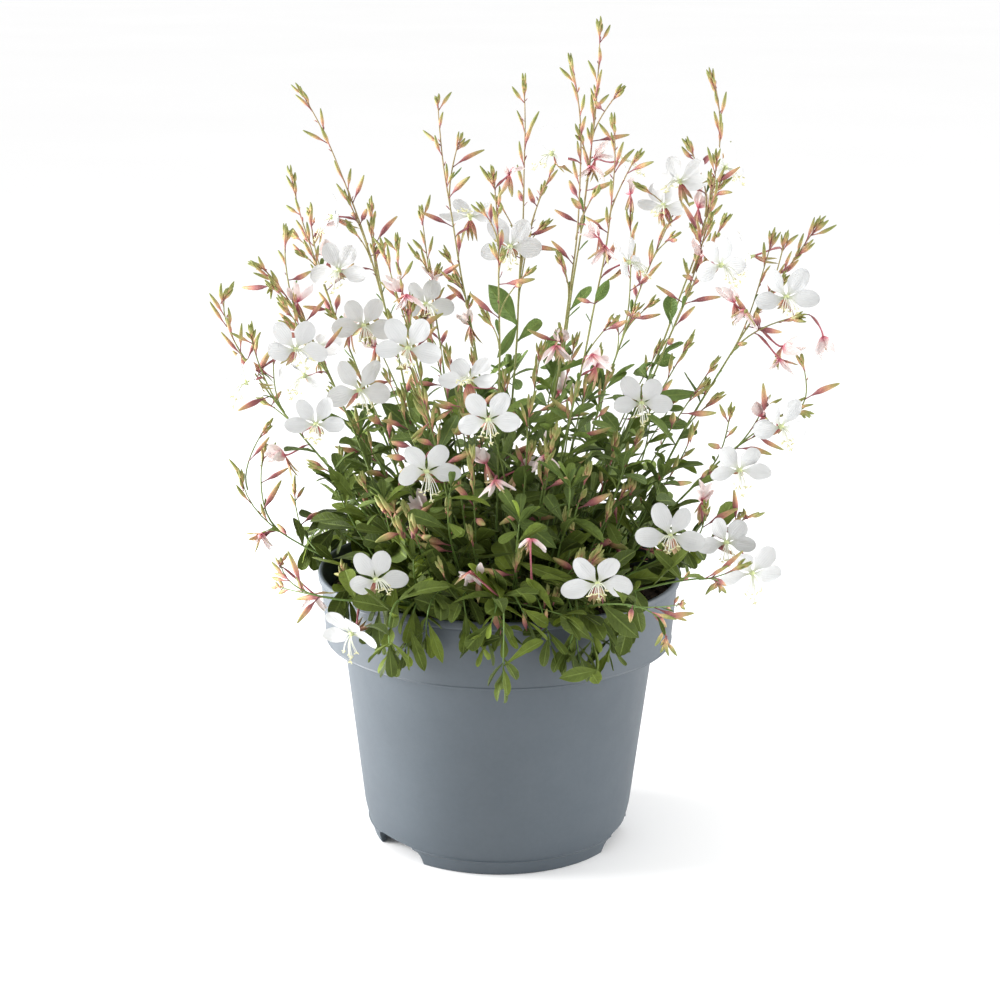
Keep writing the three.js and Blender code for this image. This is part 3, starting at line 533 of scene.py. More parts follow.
# Each leafy shoot without flowers: its foot on the peat and its tip.
LEAFY_SHOOTS = [
    (-26, -14, -38, -22, 226), (-50, 20, -74, 26, 214), (-58, -16, -84, -24, 196), (-14, -52, -24, -72, 208),
    (8, -26, 12, -34, 238), (24, -50, 34, -72, 212), (46, -32, 62, -46, 216), (30, -10, 42, -14, 246),
    (54, 14, 78, 22, 232), (-8, 20, -12, 24, 240), (22, 22, 28, 30, 252), (-30, 40, -42, 54, 230),
    (4, 46, 4, 64, 244), (40, 46, 56, 62, 236), (-40, -36, -58, -52, 196), (58, -20, 82, -32, 204),
    (10, -58, 10, -82, 196), (-12, -14, -14, -18, 232), (-6, 66, -8, 92, 206), (-54, 44, -76, 62, 206),
]

# Each short flowering shoot among the leaves: its foot on the peat, a point on its way, and its tip.
BUD_SHOOTS = [
    (-12, -62, -37, -66, 172, -57, -60, 193), (28, -48, 33, -54, 160, 35, -58, 191),
    (36, -56, 39, -64, 155, 41, -68, 176), (8, -62, 8, -70, 156, 10, -78, 182),
    (-52, -28, -68, -32, 146, -82, -35, 157), (46, -30, 56, -36, 170, 66, -40, 206),
    (58, -34, 68, -42, 156, 78, -48, 181), (18, -66, 20, -82, 148, 24, -92, 162),
    (6, -34, 0, -42, 214, -47, -45, 220), (38, -14, 48, -20, 178, 58, -25, 225),
    (50, -12, 74, -20, 182, 97, -30, 230), (-44, -6, -64, -8, 172, -83, -10, 212),
    (-34, -58, -46, -68, 145, -53, -76, 155), (-18, -50, -22, -58, 166, -26, -66, 201),
    (-30, 8, -42, 6, 176, -56, 2, 216), (20, -30, 22, -34, 180, 20, -40, 222),
]

# Each single bud that stands out in the photograph: its foot, its tip and its radius.
NOTABLE_BUDS = [
    (2, -94, 134, -4, -92, 153, 2.5), (13, -60, 191, 0, -64, 186, 1.6), (19, -96, 140, 23, -100, 154, 1.5),
    (14, -97, 140, 12, -100, 153, 1.5), (-44, -50, 215, -56, -50, 217, 1.7),
    (-40, -52, 212, -50, -52, 209, 1.6),
]

# Each leaf that stands out in the photograph: its foot, its tip and its half width.
NOTABLE_LEAVES = [
    (17, 15, 273, -8, 7, 294, 5.7), (16, 15, 272, -2, 9, 255, 2.8), (39, -43, 292, 52, -47, 306, 2.9),
    (85, 26, 274, 88, 22, 287, 4.2), (73, 25, 251, 91, 21, 254, 3.7), (102, -17, 246, 78, -25, 243, 3.0),
    (-46, 13, 216, -61, 3, 232, 5.2), (-74, 34, 263, -84, 30, 273, 2.6), (57, 21, 172, 40, 11, 199, 4.4),
    (-81, -30, 164, -95, -34, 167, 2.6), (-19, -88, 147, -40, -98, 158, 5.8),
    (-10, -104, 138, 2, -108, 142, 2.9), (59, -92, 158, 68, -100, 139, 4.6),
    (-25, -70, 157, -35, -80, 182, 4.2), (13, -80, 170, 38, -88, 163, 3.6),
    (42, -106, 124, 29, -109, 122, 3.6), (77, -58, 166, 98, -62, 184, 4.2),
    (-46, -104, 138, -49, -107, 120, 3.0), (-41, -103, 139, -36, -106, 124, 2.9),
    (-32, -103, 142, -27, -106, 128, 2.6), (24, 34, 190, 31, 26, 212, 3.4), (-16, 45, 186, -32, 37, 203, 4.4),
    (63, 23, 209, 81, 15, 226, 3.8), (-54, 36, 172, -68, 28, 190, 4.3), (-76, -26, 185, -86, -32, 205, 3.1),
    (73, -2, 172, 87, -8, 189, 3.8), (10, -70, 190, 28, -78, 178, 4.0),
    (42, -100, 141, 29, -106, 154, 4.3),
]

# the photograph's camera, in millimetres and radians, and its picture in pixels
CAMERA_BACK, CAMERA_HEIGHT = 1129.5, 479.7
CAMERA_PITCH, CAMERA_ROLL = 0.258, 0.009
FOCAL_PIXELS, PICTURE_PIXELS = 2242, 1000

# More short flowering shoots, read in the photograph: the tip's pixel, how far back it is, and the foot
# on the peat, which the front ones leave to be worked out.
LOWER_READINGS = [
    (425, 410, -38, -14, -30), (462, 398, -30, -8, -22), (530, 402, -48, 10, -36), (578, 388, -36, 24, -26),
    (641, 432, -34, 44, -24), (352, 424, -6, -34, 2), (362, 476, -34, -42, -26), (470, 452, -56, -10, -44),
    (588, 468, -60, 28, -46), (556, 430, -50, 16, -40), (505, 378, -22, 2, -16), (412, 520, -74, -30, -56),
    (610, 505, -52, 36, -40), (665, 470, -20, 52, -10), (400, 395, 10, -26, 12), (610, 372, 12, 34, 12),
]
TALLER_READINGS = [
    (366, 326, 18, -20, 10), (389, 316, -14, -16, -12), (404, 342, 34, -14, 22), (427, 326, 8, -10, 4),
    (448, 348, -28, -8, -22), (458, 376, 30, -8, 20), (472, 352, -6, -4, -4), (420, 388, -48, -18, -40),
    (352, 362, -26, -30, -20), (331, 388, 14, -36, 8), (541, 346, -20, 8, -12), (577, 338, 22, 16, 16),
    (692, 338, 10, 44, 6), (716, 362, -24, 50, -18), (662, 342, 36, 36, 26), (640, 388, -10, 34, -8),
    (385, 372, -30, -22, -26), (436, 404, 44, -14, 34), (600, 352, -34, 22, -26), (680, 392, 22, 48, 14),
]
FRONT_READINGS = [
    (388, 500, -50), (404, 504, -58), (419, 519, -62), (396, 522, -68), (569, 516, -56), (583, 552, -82),
    (601, 549, -84), (653, 532, -46), (559, 588, -92), (517, 555, -80), (530, 446, -44), (549, 452, -50),
    (627, 486, -40), (455, 470, -50), (438, 560, -82), (470, 530, -66),
]


def place_of(px, py, depth):
    """The place in whole millimetres that the photograph shows at a pixel: where the pixel's ray, with the
    camera's roll and pitch taken off, meets the plane y = depth."""
    right, up = px - PICTURE_PIXELS / 2, PICTURE_PIXELS / 2 - py
    c, s = math.cos(CAMERA_ROLL), math.sin(CAMERA_ROLL)
    right, up = (c * right - s * up) / FOCAL_PIXELS, (s * right + c * up) / FOCAL_PIXELS
    c, s = math.cos(CAMERA_PITCH), math.sin(CAMERA_PITCH)
    away = depth + CAMERA_BACK
    rise = away * (up * c - s) / (c + up * s)
    return round(right * (c * away - s * rise)), depth, round(rise + CAMERA_HEIGHT)


def read_shoot(across, back, up, px, py, depth, *foot):
    """A row as in BUD_SHOOTS from a reading, and from the middle point's shares of the way from foot to
    tip. A foot to be worked out is at 0.7 of the tip's distance from the pot's axis, or nearer."""
    x, y, z = place_of(px, py, depth)
    inward = min(0.7, 62 / math.hypot(x, y))
    foot_x, foot_y = foot or (round(x * inward * 0.9), round(y * inward))
    middle = foot_x + (x - foot_x) * across, foot_y + (y - foot_y) * back, SOIL_LEVEL + (z - SOIL_LEVEL) * up
    return (foot_x, foot_y, *map(round, middle), x, y, z)


BUD_SHOOTS += [read_shoot(0.45, 0.6, 0.58, *row) for row in LOWER_READINGS]
BUD_SHOOTS += [read_shoot(0.42, 0.55, 0.55, *row) for row in TALLER_READINGS]
BUD_SHOOTS += [read_shoot(0.4, 0.6, 0.58, *row) for row in FRONT_READINGS]


# how far the beads of small leaves are eased, and the ranges of their lift, length and width
STEM_LEAVES = 0.6, (-0.35, 1.1), (14, 31), (0.17, 0.28)
SPRIG_LEAVES = 0.5, (-1.35, 0.6), (15, 29), (0.21, 0.31)
LEAFY_SHOOT_LEAVES = 0.5, (-0.35, 1.1), (16, 34), (0.17, 0.28)
# ranges of droop and roll, for a bract and a rosette's leaf with that of the width before them
SMALL_LEAF_RANGES = (0.0, 0.45), (-1.2, 1.2)
BRACT_RANGES = (0.08, 0.13), (0.0, 0.2), (-0.3, 0.3)
ROSETTE_RANGES = (0.15, 0.2), (0.0, 0.25), (-0.4, 0.4)
GREEN_BRACT_LENGTH, SCALE_LENGTH = (5, 11), (2.2, 4.2)
# ranges of a bud's lean, length and radius
OLDER_BUD = (0.8, 1.35), (16, 21), (1.2, 1.65)
YOUNG_BUD = (0.16, 0.46), (12, 17), (0.92, 1.25)
TIP_BUD = (0.12, 0.34), (6, 9.5), (0.68, 0.92)
# ranges of a random twig's start as a share of the stem, its length and its lean
TWIG_RANGES = (0.42, 0.78), (20, 38), (0.3, 0.6)
SMALL_LEAF_TRIES, SMALL_BUD_TRIES, TWIG_TRIES, PINK_TRIES = 14, 4, 10, 12
SMALL_LEAVES_PER_STEM = 20
SMALL_LEAVES_PER_SHOOT = 7
LEAVES_PER_SPRIG = 11
LEAVES_PER_LEAFY_SHOOT = 17
LEAVES_PER_BUD_SHOOT = 5
ROSETTE_LEAVES = 6
TIP_BUDS = 5
SHORT_SHOOT = 110
BRACT_SPACING = 12.0
SHORT_SHOOT_BRACT_SPACING = 8.0
SMALL_BUD_SPACING = 8.0
SPARSE_BUD_SPACING = 13.0
SPARSE_STEMS = (1, 9, 10, 11, 12, 13, 14)
OLDER_BUDS = 3
RANDOM_TWIGS = 2
TIP_GROUP = 7.5
# degrees round from the front where the peat is bare: from and to on the right, and from on the left
BARE_SIDES = (44, 78, 52)
CRUMBS = 900
rng = np.random.default_rng(27)


def is_over_bare_peat(leaf):
    """True where a leaf would hide the peat and rim that are bare at both sides of the clump."""
    right_from, both_to, left_from = BARE_SIDES
    for share in (0.0, 0.5, 1.0):
        x, y, z = leaf["root"] + leaf["direction"] * leaf["length"] * share
        round_by = math.degrees(math.atan2(x, -y))
        is_aside = right_from < round_by < both_to or left_from < -round_by < both_to
        if math.hypot(x, y) > 56 and z < 170 and is_aside:
            return True
    return False


def is_far_out(x, y, z):
    """True where a stem leans so far out that it stays bare."""
    return math.hypot(x, y) > 92 or (abs(x) > 66 and z < 168 and y < 60)


def add_small_leaves(shoot, path, count, low, high, ranges=STEM_LEAVES):
    """Smaller leaves between the large ones, each set where its beads are eased clear of the rest."""
    ease, lifts, lengths, widths = ranges
    for i in range(count):
        age = (i + 0.5) / count
        for attempt in range(SMALL_LEAF_TRIES):
            share = float(np.clip(low + (high - low) * (age + rng.uniform(-0.6, 0.6) / count), 0.01, 0.98))
            turn = i * GOLDEN_TURN + 2.0 + attempt * 1.7 + rng.uniform(-0.4, 0.4)
            way = vector(math.cos(turn), math.sin(turn), math.tan(rng.uniform(*lifts)))
            length = rng.uniform(*lengths) * (1 - 0.4 * age)
            leaf = new_leaf(rng.uniform, path.curve(share), way, length, length, widths, *SMALL_LEAF_RANGES)
            leaf["width"] *= 1 - 0.25 * age
            if is_over_bare_peat(leaf) or (shoot.number < SPRIG_OWNERS and is_far_out(*leaf["root"])):
                continue
            if plant.beads.claim(shoot.number, *leaf_beads(leaf), ease):
                shoot.leaves.append(leaf)
                break


def add_tip_leaves(shoot, path):
    """Young leaves in a rosette that hides a leafy shoot's end, where they are clear of the open flowers."""
    tangent = unit(path.curve(1.0) - path.curve(0.97))
    for i in range(ROSETTE_LEAVES):
        outward = beside(tangent, i * GOLDEN_TURN + rng.uniform(-0.3, 0.3))
        length = rng.uniform(8, 13) + 1.2 * i
        way = tangent + outward * rng.uniform(0.35, 0.8) * (1 + 0.15 * i)
        root = path.curve(1.0 - 0.012 * i)
        leaf = new_leaf(rng.uniform, root, way, length, length, *ROSETTE_RANGES)
        if plant.beads.is_clear(shoot.number, *leaf_beads(leaf), ease=0.05, flower_ease=1.4):
            shoot.leaves.append(leaf)


def way_along(path, share):
    """The smooth curve's direction at a share of the way."""
    return unit(path.curve(min(share + 0.01, 1.0)) - path.curve(share - 0.01))


def tip_start(path):
    """The share of a wand's way where its stalk ends and the group of buds at its tip begins."""
    return 1 - TIP_GROUP / path.length()


def add_bracts(shoot, path, low, spacing=BRACT_SPACING):
    """Narrow bracts up the wand, one each spacing, turned by the golden angle and pressed to it: green
    and as long as a small leaf near the clump, and a short maroon scale above."""
    high = tip_start(path)
    count = max(0, int(path.length() * (high - low) / spacing))
    for i in range(count):
        share = low + (high - low) * (i + rng.uniform(0.2, 0.8)) / count
        tangent = way_along(path, share)
        outward = beside(tangent, i * GOLDEN_TURN + rng.uniform(-0.3, 0.3))
        green = share < low + 0.3 * (high - low)
        length = rng.uniform(*GREEN_BRACT_LENGTH if green else SCALE_LENGTH)
        way = tangent * rng.uniform(1.2, 2.4) + outward
        bract = new_leaf(rng.uniform, path.curve(share), way, length, length, *BRACT_RANGES)
        (shoot.bracts if green else shoot.scales).append(bract)


def add_small_buds(shoot, path, low, older, plump=1.0, greener=0.0):
    """Buds up the top of a wand, shorter and steeper towards its tip; a few older ones that lean far out
    on long stalks; and a tight group at the tip."""
    high = tip_start(path)
    spacing = SPARSE_BUD_SPACING if shoot.number in SPARSE_STEMS else SMALL_BUD_SPACING
    count = max(1, int(path.length() * (high - 0.02 - low) / spacing))
    for i in range(count):
        share = low + (high - 0.02 - low) * (i + rng.uniform(0.1, 0.9)) / count
        rise = (share - low) / (high - low)
        is_older = i < older
        leans, lengths, radii = OLDER_BUD if is_older else YOUNG_BUD
        lean = rng.uniform(*leans) * (1 if is_older else 1.15 - 0.4 * rise)
        length = rng.uniform(*lengths) * (1 if is_older else 1.1 - 0.3 * rise)
        root = path.curve(share)
        for attempt in range(SMALL_BUD_TRIES):
            turn = i * GOLDEN_TURN + attempt * 1.3 + rng.uniform(-0.5, 0.5)
            tip = root + leaning(way_along(path, share), turn, lean) * length
            if plant.beads.is_clear(shoot.number, *line_beads(root + (tip - root) * 0.3, tip, 0.8)):
                radius = rng.uniform(*radii) * (1 if is_older else 1.1 - 0.25 * rise)
                green = 0.2 if is_older else 0.35 + 0.5 * rise
                bud = {"root": root, "tip": tip, "radius": radius * plump, "share": green + greener}
                shoot.buds.append(bud)
                break
    tangent, start = way_along(path, 0.99), path.curve(high)
    leans, lengths, radii = TIP_BUD
    for i in range(TIP_BUDS):
        turn = i * GOLDEN_TURN + rng.uniform(-0.4, 0.4)
        root = start - tangent * (1.1 * i - 0.5)
        lean, length = (0.05, TIP_GROUP - 0.5) if i == 0 else (rng.uniform(*leans), rng.uniform(*lengths))
        tip = root + leaning(tangent, turn, lean) * length
        shoot.buds.append({"root": root, "tip": tip, "radius": rng.uniform(*radii) * plump, "share": 0.95})


def add_random_twigs(stem):
    """Short side shoots at the golden angle, 20 to 40 degrees off the wand, where their beads are clear."""
    for i in range(RANDOM_TWIGS):
        for attempt in range(TWIG_TRIES):
            share, length, lean = (rng.uniform(*between) for between in TWIG_RANGES)
            turn = i * GOLDEN_TURN + attempt + rng.uniform(0, 1)
            tip = stem.main.curve(share) + leaning(way_along(stem.main, share), turn, lean) * length
            path = shoot_path(stem.main, share, *tip)
            is_inside = tip[2] < 400 and -128 < tip[0] < 145 and abs(tip[1]) < 108
            if is_inside and plant.beads.claim(stem.number, *path_beads(path, 0.8)):
                stem.twigs.append(path)
                break


def add_pink_flower(number, x, y, z):
    """A half-open or fading flower: on its own stalk, with petals bunched one way and sepals hung the
    other, moved a little until its beads are clear."""
    stem = plant.stems[number - 1]
    root, shift, along = plant.nearest_on(stem, vector(x, y, z))
    for attempt in range(PINK_TRIES):
        centre = vector(x, y, z) + rng.uniform(-1, 1, 3) * (1 + attempt)
        away = np.clip(np.linalg.norm(centre - root), 9, 14)
        centre = root + unit(centre - root + rng.normal(size=3) * (away < 10)) * away
        facing = unit(unit(centre - root) + rng.normal(size=3) * 0.4 + vector(0, -0.3, 0.2))
        if plant.beads.claim(number, *line_beads(centre, centre + facing * 9, 2.2), 0.7):
            flower = {"root": root + shift, "along": along, "centre": centre, "facing": facing}
            stem.pink.append({**flower, "hang": unit(vector(0, 0, -1) - facing * 0.5)})
            break


def leafy_shoot(number, path, count, low, ranges):
    """A leafy shoot that has no solid of its own."""
    shoot = Shoot(number, path)
    add_small_leaves(shoot, path, count, low, 1.0, ranges)
    add_tip_leaves(shoot, path)
    return shoot


def low_sprig(number, azimuth, foot_radius, tip_radius, tip_height):
    """From the peat up, over the rim 8 mm above it, and down outside the collar, with hanging leaves."""
    a = math.radians(azimuth)
    out = vector(math.sin(a), -math.cos(a), 0)
    middle = out * 84 + vector(0, 0, 156) + np.cross(out, [0, 0, 1]) * rng.uniform(-6, 6)
    path = stem_path(out[:2] * foot_radius, middle, (*out[:2] * tip_radius, tip_height))
    return leafy_shoot(number, path, LEAVES_PER_SPRIG, 0.35, SPRIG_LEAVES)


def upright_shoot(number, x, y, to_x, to_y, to_z):
    """A leafy shoot from the peat, lower than asked by 0.15 of what is above 200 mm."""
    middle = (x + to_x) / 2 + rng.uniform(-3, 3), (y + to_y) / 2 + rng.uniform(-3, 3), (SOIL_LEVEL + to_z) / 2
    path = stem_path((x, y), middle, (to_x, to_y, to_z - 0.15 * max(0, to_z - 200)))
    return leafy_shoot(number, path, LEAVES_PER_LEAFY_SHOOT, 0.14, LEAFY_SHOOT_LEAVES)


def bud_shoot(number, foot_x, foot_y, x, y, z, *tip):
    """A short flowering shoot that has no solid of its own: a few leaves low down, and buds above."""
    path = stem_path((foot_x, foot_y), (x, y, z), tip)
    shoot, length = Shoot(number, path), path.length()
    is_short = length < SHORT_SHOOT
    add_small_leaves(shoot, path, LEAVES_PER_BUD_SHOOT, 0.1, 0.5)
    add_bracts(shoot, path, 0.4, SHORT_SHOOT_BRACT_SPACING if is_short else BRACT_SPACING)
    add_small_buds(shoot, path, max(0.45, 1 - 55 / length), 2, 1.25 if is_short else 1.05, 0.2)
    return shoot


def add_notable_leaves(paths):
    """Each notable leaf, grown from the nearest point of any stem to its foot, its upper face turned
    towards the front and a little up."""
    ways = np.concatenate([path.curve(np.linspace(0, 1, 60)) for path in paths])
    kept = []
    for i, row in enumerate(NOTABLE_LEAVES):
        foot, tip, half_width = vector(*row[:3]), vector(*row[3:6]), row[6]
        near = ways[np.linalg.norm(ways - foot, axis=1).argmin()]
        root = near if np.linalg.norm(near - foot) < 14 else foot - unit(tip - foot) * 6
        direction, length = unit(tip - root), float(np.linalg.norm(tip - root))
        upward, front = cross_frame(direction)[1], vector(0.0, -1.0, 0.35)
        roll = math.atan2(float(front @ np.cross(direction, upward)), float(front @ upward))
        roll += rng.uniform(-0.4, 0.4)
        leaf = {"root": root, "direction": direction, "length": length, "width": half_width}
        leaf |= {"droop": 0.0, "roll": roll, "wave": rng.uniform(0, 6)}
        plant.beads.keep(NOTABLE_OWNERS + i, *leaf_beads(leaf))
        kept.append(leaf)
    return kept


notable_leaves = add_notable_leaves([path for stem in plant.stems for path in stem.paths()])
for stem in plant.stems:
    stem.buds = [bud for bud in stem.buds if bud["share"] < 1]
    add_small_leaves(stem, stem.main, SMALL_LEAVES_PER_STEM, 0.01, min(0.98, stem.leafy * 0.92))
    for path, leaves in stem.shoots:
        if leaves:
            add_small_leaves(stem, path, SMALL_LEAVES_PER_SHOOT, 0.1, 0.98)
            add_tip_leaves(stem, path)
    if stem.leafy == 1:
        add_tip_leaves(stem, stem.main)
for number, *where in SIDE_SHOOTS:
    plant.stems[number - 1].twigs.append(shoot_path(plant.stems[number - 1].main, *where))
for stem in plant.stems:
    if stem.leafy <= 0.5:
        add_random_twigs(stem)
for row in PINK_FLOWERS:
    add_pink_flower(*row)
for stem in plant.stems:
    for path, leaves in stem.shoots:
        if not leaves:
            add_bracts(stem, path, 0.15)
            add_small_buds(stem, path, 0.35, older=1)
    for path in stem.twigs:
        add_bracts(stem, path, 0.3)
        add_small_buds(stem, path, 0.3, older=rng.integers(0, 2))
    if stem.leafy < 1:
        add_bracts(stem, stem.main, stem.leafy)
        add_small_buds(stem, stem.main, 0.6, older=OLDER_BUDS)
low_sprigs = [low_sprig(SPRIG_OWNERS + i, *row) for i, row in enumerate(LOW_SPRIGS)]
leafy_shoots = [upright_shoot(LEAFY_OWNERS + i, *row) for i, row in enumerate(LEAFY_SHOOTS)]
bud_shoots = [bud_shoot(BUD_OWNERS + i, *row) for i, row in enumerate(BUD_SHOOTS)]


# meshes
def linked(name, data):
    """An object of the given mesh, lamp or camera, put in the scene."""
    made = bpy.data.objects.new(name, data)
    bpy.context.scene.collection.objects.link(made)
    return made


def hand_over(made, node=None):
    """Puts a piece under the root body, and hides the solid that it replaces if any."""
    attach(made, "root")
    if node:
        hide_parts(node)


class Piece:
    """Surfaces gathered into one mesh: each call adds n copies of one net of points and faces."""

    def __init__(self, name):
        self.name, self.count = name, 0
        keys = "points", "quads", "tris", "quad_finish", "tri_finish", "uv", "rim", "tint", "age"
        self.parts = {key: [] for key in keys}

    def add(self, net, points, finish, tint=0.5, age=0.5):
        """Points is (n, k, 3) for a net of k points; tint is one number a copy, age (n, k) or less."""
        n, k = points.shape[:2]
        start = self.count + np.arange(n)[:, None, None] * k
        added = {"points": points.reshape(-1, 3), "uv": np.broadcast_to(net["uv"], (n, k, 2)).reshape(-1, 2)}
        for faces, finishes in (("quads", "quad_finish"), ("tris", "tri_finish")):
            added[faces] = (net[faces][None] + start).reshape(-1, net[faces].shape[1])
            added[finishes] = np.full(len(added[faces]), finish)
        for key, values in (("rim", net["rim"]), ("tint", np.reshape(tint, (-1, 1))), ("age", age)):
            added[key] = np.broadcast_to(values, (n, k)).reshape(-1)
        for key, values in added.items():
            self.parts[key].append(values)
        self.count += n * k

    def make(self, materials, node=None):
        whole = {key: np.concatenate(values) for key, values in self.parts.items()}
        mesh = bpy.data.meshes.new(self.name)
        faces = whole["quads"].tolist() + whole["tris"].tolist()
        mesh.from_pydata((whole["points"] * 0.001).tolist(), [], faces)
        finishes = np.concatenate([whole["quad_finish"], whole["tri_finish"]])
        mesh.polygons.foreach_set("material_index", finishes.astype(np.int32))
        mesh.polygons.foreach_set("use_smooth", np.ones(len(faces), bool))
        corners, ends = np.zeros(len(mesh.loops), np.int32), np.zeros(len(mesh.edges) * 2, np.int32)
        mesh.loops.foreach_get("vertex_index", corners)
        mesh.edges.foreach_get("vertices", ends)
        layer = mesh.uv_layers.new(name="along_and_across")
        layer.data.foreach_set("uv", whole["uv"][corners].astype(np.float32).reshape(-1))
        for name in ("tint", "age"):
            numbers = mesh.attributes.new(name, "FLOAT", "POINT")
            numbers.data.foreach_set("value", whole[name].astype(np.float32))
        sharp = mesh.attributes.new("sharp_edge", "BOOLEAN", "EDGE")
        sharp.data.foreach_set("value", whole["rim"][ends.reshape(-1, 2)].all(axis=1))
        for material in materials:
            mesh.materials.append(material)
        mesh.update()
        hand_over(linked(self.name, mesh), node)


def grid_faces(grid):
    """The quads between neighbouring points of a grid."""
    return np.stack([grid[:-1, :-1], grid[:-1, 1:], grid[1:, 1:], grid[1:, :-1]], axis=-1).reshape(-1, 4)


def blade_net(rows, columns, crowding=1.0):
    """A thin closed sheet: an upper grid of points, a lower one, and one rim that both share. Along it
    s = 1 - (1 - i / rows)^crowding, and across it c = -1 to 1 in even steps."""
    upper = np.arange((rows + 1) * (columns + 1)).reshape(rows + 1, columns + 1)
    lower = upper.copy()
    lower[1:-1, 1:-1] = upper.size + np.arange((rows - 1) * (columns - 1)).reshape(rows - 1, columns - 1)
    uv = np.stack(np.meshgrid(np.linspace(0, 1, columns + 1), np.linspace(0, 1, rows + 1)), axis=-1)
    inner = uv[1:-1, 1:-1].reshape(-1, 2)
    s = 1 - (1 - uv[:, 0, 1]) ** crowding
    return {
        "quads": np.concatenate([grid_faces(upper), grid_faces(lower)[:, [0, 3, 2, 1]]]),
        "tris": np.zeros((0, 3), int),
        "uv": np.concatenate([uv.reshape(-1, 2), inner]),
        "rim": np.concatenate([(upper == lower).reshape(-1), np.zeros(len(inner), bool)]),
        "s": s,
        "c": np.linspace(-1, 1, columns + 1),
        "along": np.concatenate([np.repeat(s, columns + 1), np.repeat(s[1:-1], columns - 1)])[None],
    }


def blade_points(net, root, direction, axes, length, spread, lift, thickness):
    """n blades: root + direction length s + across spread(s) c + upward lift(s, c), with across and upward
    as the axes. The lower skin is the thickness below, inside the rim."""
    across, upward = axes
    line = root[:, None] + direction[:, None] * (length[:, None] * net["s"])[..., None]
    upper = (
        line[:, :, None]
        + across[:, None, None] * (spread[:, :, None] * net["c"])[..., None]
        + upward[:, None, None] * lift[..., None]
    )
    lower = upper[:, 1:-1, 1:-1] - upward[:, None, None] * thickness
    return np.concatenate([upper.reshape(len(root), -1, 3), lower.reshape(len(root), -1, 3)], axis=1)


def tube_net(stations, sides):
    """Rings of points along a way, joined by quads, with a pole point that closes each end."""
    ring = np.arange(stations * sides).reshape(stations, sides)
    following = np.roll(ring, -1, axis=1)
    near = np.stack([np.full(sides, ring.size), following[0], ring[0]], axis=-1)
    far = np.stack([np.full(sides, ring.size + 1), ring[-1], following[-1]], axis=-1)
    uv = np.stack(np.meshgrid(np.arange(sides) / sides, np.linspace(0, 1, stations)), axis=-1).reshape(-1, 2)
    return {
        "quads": np.stack([ring[:-1], following[:-1], following[1:], ring[1:]], axis=-1).reshape(-1, 4),
        "tris": np.concatenate([near, far]),
        "uv": np.concatenate([uv, [[0.5, 0], [0.5, 1]]]),
        "rim": np.zeros(ring.size + 2, bool),
        "sides": sides,
    }


def tube_points(net, centres, radii, flat=1.0):
    """n tubes: at each station a ring centre + radius (across cos a - upward sin a), square to the
    way there. Flat narrows the ring along upward. The poles stand a third of a radius past the ends."""
    tangent = unit(np.gradient(centres, axis=1))
    steep = np.abs(unit(centres[:, -1] - centres[:, 0])[:, 2:3]) > 0.7
    across = unit(np.cross(tangent, np.where(steep, [1.0, 0.0, 0.0], [0.0, 0.0, 1.0])[:, None]))
    upward = np.cross(across, tangent)
    a = np.arange(net["sides"])[:, None] / net["sides"] * 2 * np.pi
    ring = across[:, :, None] * np.cos(a) - upward[:, :, None] * np.sin(a) * flat
    rings = centres[:, :, None] + ring * radii[:, :, None, None]
    near = centres[:, :1] - tangent[:, :1] * radii[:, :1, None] / 3
    far = centres[:, -1:] + tangent[:, -1:] * radii[:, -1:, None] / 3
    return np.concatenate([rings.reshape(len(centres), -1, 3), near, far], axis=1)


def tube_age(net, t):
    """The place along its way of each point of a tube, from 0 to 1."""
    return np.concatenate([np.repeat(t, net["sides"]), t[[0, -1]]])[None]


def columns_of(rows, *keys):
    """One array for each key, of its values in all rows."""
    return [np.array([row[key] for row in rows], float) for key in keys]


# finishes
def linear(colour):
    """An sRGB hex colour as linear red, green, blue and 1."""
    values = [int(colour[i : i + 2], 16) / 255 for i in (1, 3, 5)]
    return [v / 12.92 if v <= 0.04045 else ((v + 0.055) / 1.055) ** 2.4 for v in values] + [1.0]


# A Mix node's inputs and its output where it mixes colours: the factor, the colour under and the one over.
FACTOR, UNDER, OVER, MIXED = 0, 6, 7, 2


